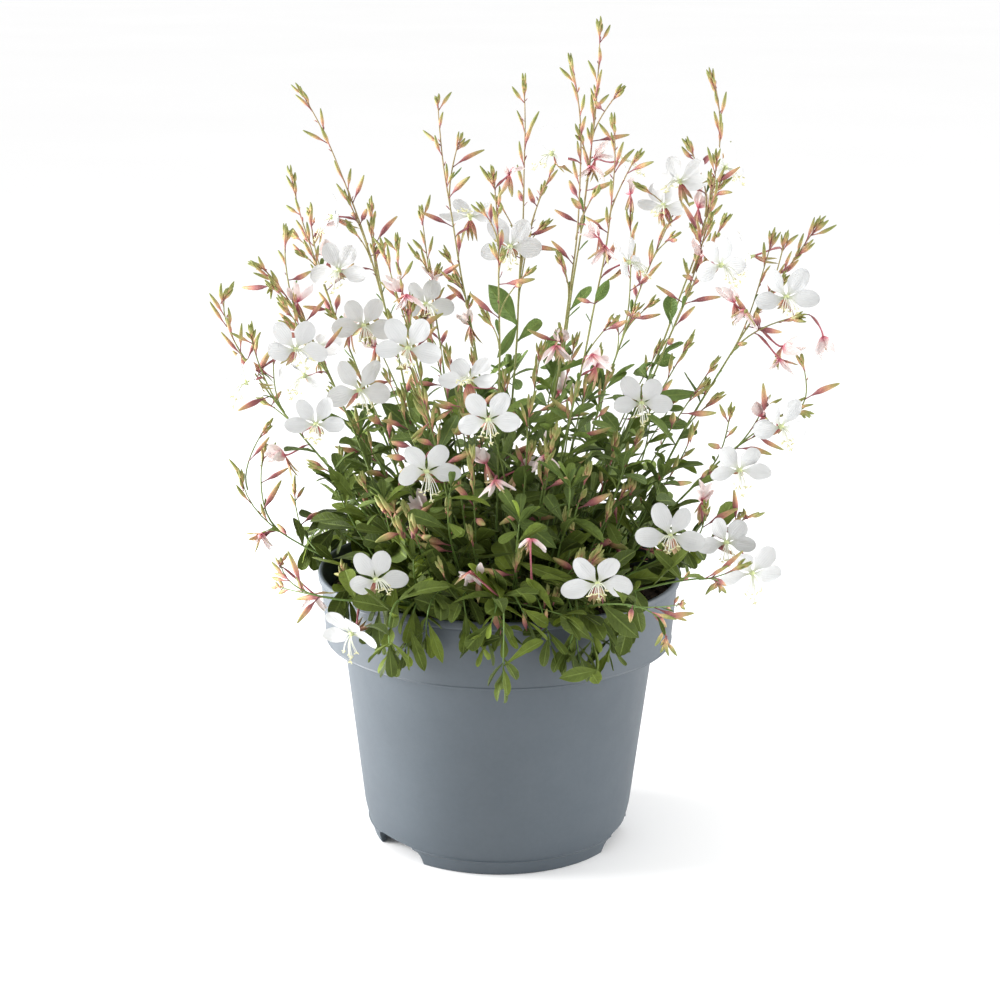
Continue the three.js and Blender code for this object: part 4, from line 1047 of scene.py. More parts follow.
class Finish:
    """A material of one Principled shader. The named inputs are its uniform values."""

    def __init__(self, name, specular, **inputs):
        self.material = bpy.data.materials.new(name)
        self.material.use_nodes = True
        self.tree = self.material.node_tree
        self.shader = self.tree.nodes["Principled BSDF"]
        inputs["Specular_IOR_Level"] = specular
        for key, value in inputs.items():
            self.shader.inputs[key.replace("_", " ")].default_value = value

    def node(self, kind, inputs, output=0, stops=(), **settings):
        """Adds a node with its settings and its ramp's stops, and gives one of its outputs. An input is a
        value, or another node's output to link."""
        made = self.tree.nodes.new("ShaderNode" + kind)
        for key, value in settings.items():
            setattr(made, key, value)
        for key, value in inputs.items():
            if isinstance(value, bpy.types.NodeSocket):
                self.tree.links.new(value, made.inputs[key])
            else:
                made.inputs[key].default_value = value
        elements = made.color_ramp.elements if stops else ()
        for _ in stops[2:]:
            elements.new(0.5)
        for element, (place, colour) in zip(elements, stops):
            element.position = place
            element.color = linear(colour) if isinstance(colour, str) else (colour, colour, colour, 1)
        return made.outputs[output]

    def own_numbers(self):
        """A piece's own numbers at each point: tint, one for each copy, and age, along it."""
        return [self.node("Attribute", {}, "Fac", attribute_name=name) for name in ("tint", "age")]

    def across_and_along(self):
        """Shares of a blade's width and of its length, from the piece's own UV map."""
        places = self.node("UVMap", {}, uv_map="along_and_across")
        across = self.node("SeparateXYZ", {0: places})
        return across, across.node.outputs[1]

    def spots(self, size, detail=3.0):
        """Noise whose patches are about the given number of millimetres across."""
        coords = self.node("TexCoord", {}, "Object")
        return self.node("TexNoise", {"Vector": coords, "Scale": 1000 / size, "Detail": detail}, "Fac")

    def mottled(self, colour, size, dark, light):
        """A colour in patches that are darker and lighter by a factor."""
        shade = self.node("ValToRGB", {0: self.spots(size)}, stops=[(0.3, dark), (0.7, light)])
        inputs = {FACTOR: 1.0, UNDER: colour, OVER: shade}
        return self.node("Mix", inputs, MIXED, data_type="RGBA", blend_type="MULTIPLY")

    def line(self, place):
        """How far a number is from the nearest half: 0 on a line that repeats at each unit."""
        fraction = self.node("Math", {0: place}, operation="FRACT")
        offset = self.node("Math", {0: fraction, 1: 0.5}, operation="SUBTRACT")
        return self.node("Math", {0: offset}, operation="ABSOLUTE")

    def complete(self, colour, gloss, relief, depth):
        """Links the colour, a roughness of low + spread times the spots of gloss, and a relief so many
        millimetres deep."""
        spots, spread, low = gloss
        varied = self.node("Math", {0: spots, 1: spread}, operation="MULTIPLY")
        roughness = self.node("Math", {0: varied, 1: low}, operation="ADD")
        bump = self.node("Bump", {"Height": relief, "Strength": 1.0, "Distance": depth * 0.001})
        for key, value in (("Base Color", colour), ("Roughness", roughness), ("Normal", bump)):
            self.tree.links.new(value, self.shader.inputs[key])
        return self.material


def leaf_finish():
    """Living leaf with a thin wax bloom: matt mid to blue green, lighter higher up, pale midrib and
    veins, and a painted highlight along the thin edge. A side vein is a pale line each 2.6 mm or so, swept
    towards the tip."""
    skin = Finish("living_leaf_waxy_cuticle", 0.18)
    across, along = skin.across_and_along()
    tint, age = skin.own_numbers()
    greens = [(0.0, "#2f380d"), (0.3, "#434f18"), (0.55, "#55621f"), (0.8, "#697726"), (1.0, "#7e9026")]
    base = skin.node("ValToRGB", {0: tint}, stops=greens)
    by_age = skin.node("Math", {0: age, 1: 0.55}, operation="MULTIPLY")
    in_spots = skin.node("Math", {0: skin.spots(22), 1: 0.35}, operation="MULTIPLY")
    off_middle = skin.node("Math", {0: across, 1: 0.5}, operation="SUBTRACT")
    distance = skin.node("Math", {0: off_middle}, operation="ABSOLUTE")
    aside = skin.node("Math", {0: distance, 1: 2.0}, operation="MULTIPLY")
    pitch = skin.node("Math", {0: along, 1: 9.0}, operation="MULTIPLY")
    sweep = skin.node("Math", {0: aside, 1: 1.6}, operation="MULTIPLY")
    swept = skin.node("Math", {0: pitch, 1: sweep}, operation="SUBTRACT")
    vein = skin.node("ValToRGB", {0: skin.line(swept)}, stops=[(0.0, 1.0), (0.09, 0.0)])
    rib = skin.node("ValToRGB", {0: aside}, stops=[(0.0, 1.0), (0.06, 0.85), (0.13, 0.0)])
    # painted highlight: the outer edge of each side is lightened as if the thin edge caught the light
    edge = skin.node("ValToRGB", {0: aside}, stops=[(0.93, 0.0), (1.0, 1.0)])
    on_vein = skin.node("Math", {0: vein, 1: 0.1}, operation="MULTIPLY")
    on_rib = skin.node("Math", {0: rib, 1: 0.45}, operation="MULTIPLY")
    painted_edge_highlight = skin.node("Math", {0: edge, 1: 0.5}, operation="MULTIPLY")
    colour = base
    for factor, over in ((by_age, "#7c9a58"), (in_spots, "#4a5e36")):
        inputs = {FACTOR: factor, UNDER: colour, OVER: linear(over)}
        colour = skin.node("Mix", inputs, MIXED, data_type="RGBA")
    colour = skin.mottled(colour, 3.5, 0.85, 1.19)
    # the veins and midrib are the leaf's own colour; the pale edge is a painted highlight
    for factor, over in ((on_vein, "#72864c"), (on_rib, "#87994f"), (painted_edge_highlight, "#829440")):
        inputs = {FACTOR: factor, UNDER: colour, OVER: linear(over)}
        colour = skin.node("Mix", inputs, MIXED, data_type="RGBA")
    grain = skin.node("Math", {0: skin.spots(1.6), 1: 0.5}, operation="MULTIPLY")
    furrows = skin.node("Math", {0: rib, 1: vein}, operation="ADD")
    relief = skin.node("Math", {0: grain, 1: furrows}, operation="SUBTRACT")
    return skin.complete(colour, (skin.spots(5), 0.25, 0.46), relief, 0.18)


def stalk_finish():
    """Living stem, fresh green below and olive to tan towards the wand's end."""
    skin = Finish("living_stem_ribbed_skin", 0.35)
    mottle, (_, age) = skin.spots(9), skin.own_numbers()
    off_middle = skin.node("Math", {0: mottle, 1: 0.5}, operation="SUBTRACT")
    shift = skin.node("Math", {0: off_middle, 1: 0.5}, operation="MULTIPLY")
    place = skin.node("Math", {0: age, 1: shift}, operation="ADD", use_clamp=True)
    tones = [(0.0, "#5a7434"), (0.4, "#6a7b3c"), (0.7, "#85854e"), (1.0, "#8f7c54")]
    base = skin.node("ValToRGB", {0: place}, stops=tones)
    return skin.complete(skin.mottled(base, 1.5, 0.85, 1.1), (mottle, 0.2, 0.45), skin.spots(0.9), 0.08)


def bud_finish():
    """Downy flower bud: rose brown at its foot, tan along its middle, olive green at its tip."""
    skin = Finish("flower_bud_downy_skin", 0.3)
    tint, age = skin.own_numbers()
    off_middle = skin.node("Math", {0: tint, 1: 0.5}, operation="SUBTRACT")
    shift = skin.node("Math", {0: off_middle, 1: 0.55}, operation="MULTIPLY")
    place = skin.node("Math", {0: age, 1: shift}, operation="ADD", use_clamp=True)
    foot, tip = [(0.0, "#74464a"), (0.3, "#8e5557"), (0.42, "#ad7466")], [(0.78, "#9a935a"), (1.0, "#7c8246")]
    base = skin.node("ValToRGB", {0: place}, stops=[*foot, (0.58, "#b8926c"), *tip])
    gloss = skin.spots(3), 0.2, 0.5
    return skin.complete(skin.mottled(base, 1.2, 0.86, 1.12), gloss, skin.spots(0.7), 0.07)


def tube_finish():
    """Slender flower tube: maroon red at its foot, pinker and paler where it opens."""
    skin = Finish("flower_tube_smooth_skin", 0.4)
    _, age = skin.own_numbers()
    reds = [(0.0, "#6a4040"), (0.45, "#8a4f50"), (0.8, "#aa5a68"), (1.0, "#b06468")]
    base = skin.node("ValToRGB", {0: age}, stops=reds)
    gloss = skin.spots(3), 0.2, 0.35
    return skin.complete(skin.mottled(base, 1.5, 0.85, 1.1), gloss, skin.spots(0.8), 0.05)


def sepal_finish():
    """Reflexed sepal: pink red to tan, with a paler tip."""
    skin = Finish("sepal_thin_skin", 0.35, Subsurface_Weight=0.15, Subsurface_Radius=(0.001, 0.0005, 0.0004))
    tint, age = skin.own_numbers()
    shift = skin.node("Math", {0: tint, 1: 0.5}, operation="MULTIPLY")
    place = skin.node("Math", {0: age, 1: shift}, operation="ADD", use_clamp=True)
    tones = [(0.0, "#a4505c"), (0.35, "#b37068"), (0.7, "#ba967a"), (1.0, "#9c9360")]
    base = skin.node("ValToRGB", {0: place}, stops=tones)
    gloss = skin.spots(3), 0.2, 0.4
    return skin.complete(skin.mottled(base, 1.4, 0.88, 1.1), gloss, skin.spots(0.8), 0.06)


def petal_finish():
    """Living white petal: thin and soft, so light bleeds through it, with faint veins along it."""
    bleed = {"Subsurface_Weight": 0.35, "Subsurface_Radius": (0.0014, 0.0013, 0.0012)}
    skin = Finish("living_petal_white", 0.25, **bleed)
    across, along = skin.across_and_along()
    off_middle = skin.node("Math", {0: across, 1: 0.5}, operation="SUBTRACT")
    fanned = skin.node("Math", {0: off_middle, 1: 9.0}, operation="MULTIPLY")
    place = skin.node("Math", {0: fanned, 1: 9.5}, operation="ADD")
    vein = skin.node("ValToRGB", {0: skin.line(place)}, stops=[(0.0, 1.0), (0.16, 0.0)])
    whites = [(0.0, "#bfc69e"), (0.12, "#cdcfc6"), (0.26, "#d4d5d5"), (1.0, "#d6d7d7")]
    base = skin.mottled(skin.node("ValToRGB", {0: along}, stops=whites), 6, 0.95, 1.0)
    on_vein = skin.node("Math", {0: vein, 1: 0.25}, operation="MULTIPLY")
    inputs = {FACTOR: on_vein, UNDER: base, OVER: linear("#c8cbca")}
    veined = skin.node("Mix", inputs, MIXED, data_type="RGBA")
    relief = skin.node("Math", {0: skin.spots(1.8), 1: vein}, operation="SUBTRACT")
    return skin.complete(veined, (skin.spots(4), 0.15, 0.48), relief, 0.1)


def faded_petal_finish():
    """Fading petal, limp and crumpled: rose at its foot, then pink white with duller patches."""
    skin = Finish("faded_petal_limp", 0.25, Subsurface_Weight=0.2, Subsurface_Radius=(0.001, 0.0008, 0.0007))
    _, age = skin.own_numbers()
    pinks = [(0.0, "#b84460"), (0.14, "#cf8590"), (0.36, "#e6d2d0"), (1.0, "#ebe3e1")]
    base = skin.node("ValToRGB", {0: age}, stops=pinks)
    patches = skin.node("ValToRGB", {0: skin.spots(4)}, stops=[(0.5, 0.0), (0.85, 0.4)])
    inputs = {FACTOR: patches, UNDER: base, OVER: linear("#cfa99c")}
    dulled = skin.node("Mix", inputs, MIXED, data_type="RGBA")
    return skin.complete(dulled, (skin.spots(3), 0.2, 0.5), skin.spots(1.2), 0.15)


def filament_finish():
    """Stamen filament and style: translucent white, faintly green at the throat."""
    bleed = {"Subsurface_Weight": 0.2, "Subsurface_Radius": (0.0006, 0.0006, 0.0005)}
    skin = Finish("stamen_filament_white", 0.35, **bleed)
    _, age = skin.own_numbers()
    base = skin.node("ValToRGB", {0: age}, stops=[(0.0, "#c6cf98"), (0.3, "#dcdfcc"), (1.0, "#e4e4da")])
    return skin.complete(skin.mottled(base, 2, 0.93, 1.0), (skin.spots(2), 0.15, 0.38), skin.spots(0.6), 0.03)


def anther_finish():
    """Anther and stigma: powdery pollen sacs, pale green yellow."""
    skin = Finish("anther_powdery_pollen", 0.2)
    yellows = [(0.3, "#c6c18e"), (0.5, "#dcdbb4"), (0.75, "#b2a66a")]
    base = skin.node("ValToRGB", {0: skin.spots(1.1)}, stops=yellows)
    return skin.complete(base, (skin.spots(0.8), 0.2, 0.7), skin.spots(0.4), 0.08)


def pot_finish():
    """Polypropylene, injection moulded in blue grey: even and half matt, with a soft sheen at the edges
    and a spark-eroded texture, whose 0.6 mm grain is drawn a little coarse so that it shows."""
    skin = Finish("polypropylene_moulded_blue_grey", 0.9, IOR=1.49)
    spots = skin.spots(60, detail=2.0)
    base = skin.node("ValToRGB", {0: spots}, stops=[(0.3, "#343f48"), (0.7, "#3a454e")])
    gloss = skin.spots(14, detail=5.0), 0.18, 0.5
    return skin.complete(skin.mottled(base, 2.5, 0.96, 1.04), gloss, skin.spots(0.9, detail=2.0), 0.012)


def peat_finish():
    """Peat compost, damp and crumbly: near black brown, with paler fibres and bits."""
    skin = Finish("peat_compost_damp", 0.2)
    tint, _ = skin.own_numbers()
    browns = [(0.3, "#17110d"), (0.5, "#2a201a"), (0.66, "#3d3026"), (0.8, "#5a4836")]
    base = skin.node("ValToRGB", {0: skin.spots(2.2, detail=5.0)}, stops=browns)
    pale = skin.node("ValToRGB", {0: tint}, stops=[(0.82, 0.0), (0.9, 1.0)])
    inputs = {FACTOR: pale, UNDER: base, OVER: linear("#8d7a5e")}
    flecked = skin.node("Mix", inputs, MIXED, data_type="RGBA")
    return skin.complete(flecked, (skin.spots(3), 0.25, 0.72), skin.spots(0.8, detail=4.0), 0.5)


sepal_skin = sepal_finish()
LEAF, STALK, BUD, TUBE, FADED, SEPAL = range(6)
STEM_SKINS = [leaf_finish(), stalk_finish(), bud_finish(), tube_finish(), faded_petal_finish(), sepal_skin]
PETAL, FILAMENT, ANTHER, FLOWER_SEPAL = range(4)
FLOWER_SKINS = [petal_finish(), filament_finish(), anther_finish(), sepal_skin]


# stems, leaves and buds
LEAF_NET = blade_net(9, 4, crowding=1.5)
NOTABLE_NET = blade_net(13, 6, crowding=1.5)
BRACT_NET = blade_net(5, 2, crowding=1.5)
SPENT_NET = blade_net(7, 4)
PINK_NET = blade_net(6, 4)
BUD_NET = tube_net(9, 6)
LEAF_SKIN_THICKNESS = 0.32
PETAL_THICKNESS = 0.3
LIMP_PETAL_THICKNESS = 0.25
# places along a bud's stalk and the bud, and the radius there: the stalk's, then shares of the bud's
BUD_STATIONS = np.array([0.0, 0.2, 0.33, 0.42, 0.52, 0.66, 0.8, 0.92, 1.0])
BUD_STALK_RADIUS = 0.3
BUD_SWELLING = np.array([0.5, 0.86, 1.0, 0.93, 0.74, 0.5, 0.24])
TUBE_RADII = np.array([0.34, 0.3, 0.36, 0.66, 0.74, 0.48, 0.44, 0.5, 0.62])
# radius of each kind of stalk at its foot and at its tip
STEM_STALK, SHOOT_STALK, TWIG_STALK = (0.9, 0.26), (0.5, 0.27), (0.42, 0.26)
LEAFY_STALK, BUD_SHOOT_STALK = (0.75, 0.3), (0.7, 0.28)
STALK_SIDES = 8
# a half-open flower's petals and its sepals: how wide they open, length from and to, and half width
PINK_PETALS, PINK_SEPALS = (0.62, 8, 12, 2.9), (0.3, 9, 13, 1.15)


def add_leaves(piece, leaves, net, kind=LEAF, toothed=False, blunt=1.0):
    """Leaf blades: the midline root + direction L s - upward droop L s^2 of the part, a half width
    w s^a (1-s)^b / max with a and b of each leaf's own, a fold along the midrib, and a waved edge."""
    if not leaves:
        return
    n, s, c = len(leaves), net["s"], net["c"]
    root, direction, length, width, droop, roll, wave = columns_of(
        leaves, "root", "direction", "length", "width", "droop", "roll", "wave"
    )
    a, b = rng.uniform(1.0, 1.6, (n, 1)), rng.uniform(0.42, 0.8, (n, 1)) * blunt
    peak = a / (a + b)
    form = np.maximum(s**a * (1 - s) ** b / (peak**a * (1 - peak) ** b), 0.1 * (1 - s) + 0.02)
    teeth = rng.uniform(-0.06, 0.09, (n, 1)).clip(0) * ((np.arange(len(s)) % 2) * (s > 0.3) * (s < 0.9))
    spread = width[:, None] * form * (1 + (teeth if toothed else 0))
    fold = rng.uniform(0.1, 0.42, (n, 1, 1))
    curl = rng.uniform(-0.1, 0.12, (n, 1, 1)) * length[:, None, None]
    form, width, wave, s3 = form[:, :, None], width[:, None, None], wave[:, None, None], s[:, None]
    ripple = np.sin(2.2 * (1 + 2 * s3) + 1.1 * c + wave) * (form * np.abs(c) ** 1.5) * (0.14 * width)
    quick = np.sin(17 * s3 + 3 * c + 5 * wave) * form * np.abs(c)
    bend = ((-droop * length)[:, None] * s**2)[:, :, None]
    lift = bend + spread[:, :, None] * np.abs(c) * fold + ripple + quick * 0.035 * width + curl * s3**4
    axes = rolled_frame(direction, roll)
    points = blade_points(net, root, direction, axes, length, spread, lift, LEAF_SKIN_THICKNESS)
    age = np.clip((root[:, 2:] - 165) / 110, 0, 1) if kind == LEAF else net["along"] * 0.5
    piece.add(net, points, kind, tint=rng.beta(2.0, 2.2, n), age=age)


def add_buds(piece, buds):
    """Buds on thin stalks: a bowed way from root to tip, whose radius is the stalk's for a third, swells
    abruptly to the bud's own at a half, and tapers evenly to a blunt tip."""
    if not buds:
        return
    root, tip, radius, share = columns_of(buds, "root", "tip", "radius", "share")
    t = BUD_STATIONS
    side = unit(np.cross(unit(tip - root), rng.normal(size=root.shape)))
    bow = side * np.linalg.norm(tip - root, axis=1)[:, None] * rng.uniform(0.01, 0.07, (len(buds), 1))
    way = root[:, None] + (tip - root)[:, None] * t[:, None] + bow[:, None] * np.sin(np.pi * t)[:, None]
    thin = np.full((len(buds), 2), BUD_STALK_RADIUS)
    points = tube_points(BUD_NET, way, np.concatenate([thin, radius[:, None] * BUD_SWELLING], axis=1))
    tint = np.clip(share + rng.uniform(-0.25, 0.25, len(buds)), 0, 1)
    piece.add(BUD_NET, points, BUD, tint=tint, age=tube_age(BUD_NET, t))


def add_stalk(piece, path, low_radius, high_radius, rooted=False, end=1.0):
    """A stalk along the smooth curve: its radius falls with the 0.7th power of the way, and swells at
    each node."""
    length = path.length()
    t = np.linspace(0, end, max(10, int(length / 6)))
    way = path.curve(t)
    if rooted:
        way = np.concatenate([[way[0] - unit(path.poles[1] - path.poles[0]) * ROOT_DEPTH * 0.8], way])
        t = np.concatenate([[-0.02], t])
    share = np.clip(t, 0, 1)
    zigzag = np.stack([np.sin(t * length / 9), np.cos(t * length / 11), np.zeros_like(t)], axis=-1)
    way = way + zigzag * (share * (1 - share))[:, None]
    swelling = 1 + 0.14 * np.maximum(0, np.sin(t * length / 2.8)) ** 6
    radii = (low_radius + (high_radius - low_radius) * share**0.7) * swelling
    net = tube_net(len(t), STALK_SIDES)
    height = np.clip((way[:, 2] - SOIL_LEVEL - 20) / 190, 0, 1)
    piece.add(net, tube_points(net, way[None], radii[None]), STALK, age=tube_age(net, height))


def add_tubes(piece, rows, end_key):
    """Flower stalk and tube: a cubic way that leaves the stem along it and comes in behind the
    flower, thin and then swollen at the seed case, and thin again to the flower."""
    if not rows:
        return
    root, tip, along = columns_of(rows, "root", end_key, "along")
    reach = np.linalg.norm(tip - root, axis=1)[:, None]
    into = columns_of(rows, "facing")[0] if "facing" in rows[0] else unit(tip - root)
    t = np.linspace(0, 1, 9)
    poles = root, root + along * reach * 0.25, tip - into * reach * 0.3, tip
    way = bezier(t[:, None], *(pole[:, None] for pole in poles))
    points = tube_points(BUD_NET, way, np.tile(TUBE_RADII, (len(rows), 1)))
    piece.add(BUD_NET, points, TUBE, age=tube_age(BUD_NET, t))


def add_spent(piece, spent):
    """Fading flowers: from each middle hang four narrow crumpled petals, closed round each other,
    and the sepals behind them."""
    if not spent:
        return
    rows = []
    for flower in spent:
        for i, kind in enumerate([FADED] * 4 + [SEPAL] * 2):
            toward = unit(flower["petals"][i % 2] - flower["centre"])
            direction = unit(toward + rng.normal(size=3) * (0.16 if kind == FADED else 0.5))
            length = rng.uniform(*(9, 13) if kind == FADED else (8, 11))
            rows.append({"root": flower["centre"], "direction": direction, "length": length, "kind": kind})
    root, direction, length, kinds = columns_of(rows, "root", "direction", "length", "kind")
    axes = rolled_frame(direction, rng.uniform(0, 6, len(rows)))
    s, c = SPENT_NET["s"], SPENT_NET["c"]
    form = np.sqrt(np.clip(s * 1.6, 0.05, 1)) * np.sqrt(np.clip(1.04 - s, 0.02, 1))
    spread = np.where(kinds == FADED, 2.1, 1.0)[:, None] * form
    crumple = np.sin(9 * s[:, None] + 4 * c + rng.uniform(0, 6, (len(rows), 1, 1))) * 0.45
    lift = spread[:, :, None] * np.abs(c) * 0.9 + crumple * form[:, None]
    points = blade_points(SPENT_NET, root, direction, axes, length, spread, lift, LIMP_PETAL_THICKNESS)
    for kind in (FADED, SEPAL):
        chosen = kinds == kind
        tint = rng.uniform(0, 1, chosen.sum())
        piece.add(SPENT_NET, points[chosen], kind, tint=tint, age=SPENT_NET["along"])


def add_pink(piece, flowers):
    """Half-open flowers: four crumpled petals in a loose bunch round the facing, and four sepals that
    hang behind."""
    if not flowers:
        return
    n, s, c = len(flowers), PINK_NET["s"], PINK_NET["c"]
    centre, facing, hang = columns_of(flowers, "centre", "facing", "hang")
    first, second = cross_frame(facing)
    form = np.clip(s * 2.2 + 0.12, 0, 1) ** 0.8 * np.sqrt(np.clip(1.03 - s**3, 0.03, 1))
    kinds = (FADED, facing, *PINK_PETALS), (SEPAL, hang, *PINK_SEPALS)
    for kind, middle, open_by, low, high, half in kinds:
        for i in range(4):
            turn = i * math.pi / 2 + rng.uniform(-0.5, 0.5, (n, 1))
            aside = first * np.cos(turn) + second * np.sin(turn)
            direction = unit(middle + aside * open_by * rng.uniform(0.5, 1.3, (n, 1)))
            axes = rolled_frame(direction, rng.uniform(0, 6, n))
            spread = half * rng.uniform(0.7, 1.15, (n, 1)) * form
            crumple = np.sin(7 * s[:, None] + 4 * c + rng.uniform(0, 6, (n, 1, 1)))
            crumple = crumple * (0.28 * spread[:, :, None])
            length = rng.uniform(low, high, n)
            bend = rng.uniform(-0.35, 0.35, (n, 1, 1)) * length[:, None, None] * s[:, None] ** 2
            lift = spread[:, :, None] * np.abs(c) * 0.55 + crumple * (kind == FADED) + bend
            blades = centre, direction, axes, length, spread, lift, LIMP_PETAL_THICKNESS
            points = blade_points(PINK_NET, *blades)
            piece.add(PINK_NET, points, kind, tint=rng.uniform(0, 0.6, n), age=PINK_NET["along"])


def add_growth(piece, shoot, blunt=1.0):
    """A shoot's leaves, bracts, scales and buds."""
    add_leaves(piece, shoot.leaves, LEAF_NET, toothed=True, blunt=blunt)
    add_leaves(piece, shoot.bracts, BRACT_NET)
    add_leaves(piece, shoot.scales, BRACT_NET, kind=BUD)
    add_buds(piece, shoot.buds)


def make_stem(stem):
    """A stem with its side shoots and twigs, their growth, and its tubes and fading flowers."""
    piece = Piece(f"gaura_stem_{stem.number:02d}")
    add_stalk(piece, stem.main, *STEM_STALK, rooted=True, end=tip_start(stem.main) if stem.leafy < 1 else 1)
    for path, leaves in stem.shoots:
        add_stalk(piece, path, *SHOOT_STALK, end=1 if leaves else tip_start(path))
    for path in stem.twigs:
        add_stalk(piece, path, *TWIG_STALK, end=tip_start(path))
    add_growth(piece, stem)
    add_tubes(piece, stem.tubes, "tip")
    add_tubes(piece, stem.spent, "centre")
    add_tubes(piece, stem.pink, "centre")
    add_spent(piece, stem.spent)
    add_pink(piece, stem.pink)
    piece.make(STEM_SKINS, f"stem_{stem.number:02d}")


def make_shoots(name, shoots, radii, leaves=(), buds=(), blunt=1.0):
    """Shoots that the part leaves out, and single leaves and buds among them, as one piece."""
    piece = Piece(name)
    add_leaves(piece, leaves, NOTABLE_NET, toothed=True, blunt=1.6)
    for shoot in shoots:
        add_stalk(piece, shoot.main, *radii, rooted=True, end=tip_start(shoot.main) if shoot.buds else 1)
        add_growth(piece, shoot, blunt)
    add_buds(piece, buds)
    piece.make(STEM_SKINS)


for stem in plant.stems:
    make_stem(stem)
make_shoots("gaura_low_sprigs", low_sprigs, LEAFY_STALK, blunt=0.8)
make_shoots("gaura_leafy_shoots", leafy_shoots, LEAFY_STALK, leaves=notable_leaves, blunt=0.8)
single_buds = [
    {"root": vector(*row[:3]), "tip": vector(*row[3:6]), "radius": row[6], "share": 0.25}
    for row in NOTABLE_BUDS
]
make_shoots("gaura_bud_shoots", bud_shoots, BUD_SHOOT_STALK, buds=single_buds)


# flowers
PETAL_NET = blade_net(12, 8, crowding=1.35)
SEPAL_NET = blade_net(8, 4)
THROAT_NET = tube_net(7, 10)
FILAMENT_NET = tube_net(7, 5)
ANTHER_NET = tube_net(6, 6)
# heights and radii of the flared cup that joins the petals to the tube behind
THROAT_HEIGHTS = (-3.2, -2.6, -1.8, -0.9, -0.2, 0.5, 0.9)
THROAT_RADII = np.array([[0.5, 0.75, 0.85, 1.0, 1.35, 1.3, 0.7]])
SEPAL_AZIMUTHS = (166, -166, 140, -140)
STAMENS = 8
STYLE_TIP = (0.4, -11.0, 8.6)
FILAMENT_RADIUS, STYLE_RADIUS = 0.2, 0.26
ANTHER_HALF_LENGTH, ANTHER_RADIUS = 1.1, 0.4
LOBE_LENGTH, LOBE_RADIUS = 1.5, 0.32


def petal_form(s):
    """Half width of a petal over its length: a short claw, a smooth rise to full width at a half, and
    from three fifths an ellipse to the round end."""
    rise = np.clip((s - 0.03) / 0.47, 0, 1)
    rise = 0.13 + 0.87 * rise * rise * (3 - 2 * rise)
    end = np.sqrt(np.clip(1 - np.clip((s - 0.56) / 0.44, 0, 1) ** 2.3, 0.0, 1))
    return rise * np.maximum(end, 0.14)


def petal_points(reach, cup):
    """Four petals round +Z, each cupped, waved towards its edges, and grooved along its middle."""
    count = len(PETAL_ANGLES)
    angle = np.radians(PETAL_ANGLES) + rng.uniform(-0.13, 0.13, count)
    direction = np.stack([np.sin(angle), np.cos(angle), np.zeros(count)], axis=-1)
    s, c = PETAL_NET["s"][:, None], PETAL_NET["c"]
    form = petal_form(s)
    spread = (0.305 + rng.uniform(-0.03, 0.03, (count, 1))) * reach * form[:, 0]
    phase = rng.uniform(0, 6, (count, 1, 1))
    axes = rolled_frame(direction, rng.uniform(-0.28, 0.28, count))
    lift = (
        cup * reach * s**2
        + rng.uniform(-0.1, 0.14, (count, 1, 1)) * reach * s**3
        - 0.5 * form * np.cos(c * 1.5)
        + 0.7 * np.sin(4.5 * s + 2.2 * c + phase) * np.abs(c) ** 1.4 * form
        + 0.22 * np.sin(13 * s + 5 * c + 2 * phase) * np.abs(c) * form
        - 0.35 * np.exp(-((c / 0.2) ** 2)) * form
    )
    length = reach * rng.uniform(0.87, 1.02, count)
    return blade_points(PETAL_NET, direction, direction, axes, length, spread, lift, PETAL_THICKNESS)


def sepal_points(size):
    """Four sepals, bent back behind the petals in pairs."""
    lean = np.radians(SEPAL_AZIMUTHS) + rng.uniform(-0.2, 0.2, 4)
    way = unit(np.stack([np.sin(lean), np.cos(lean), -rng.uniform(0.9, 1.7, 4)], axis=-1))
    s, c = SEPAL_NET["s"], SEPAL_NET["c"]
    form = np.clip((s * 3.2) ** 0.5, 0.35, 1) * np.clip((1.03 - s) * 1.9, 0.06, 1) ** 0.8
    spread = np.full((4, 1), 1.15) * form
    lift = spread[:, :, None] * np.abs(c) * 0.75 - rng.uniform(0.05, 0.3, (4, 1, 1)) * 12 * s[:, None] ** 2
    root = np.tile([0.0, 0.0, -2.2], (4, 1))
    length = rng.uniform(11, 14.5, 4) * size
    return blade_points(SEPAL_NET, root, way, cross_frame(way), length, spread, lift, PETAL_THICKNESS)


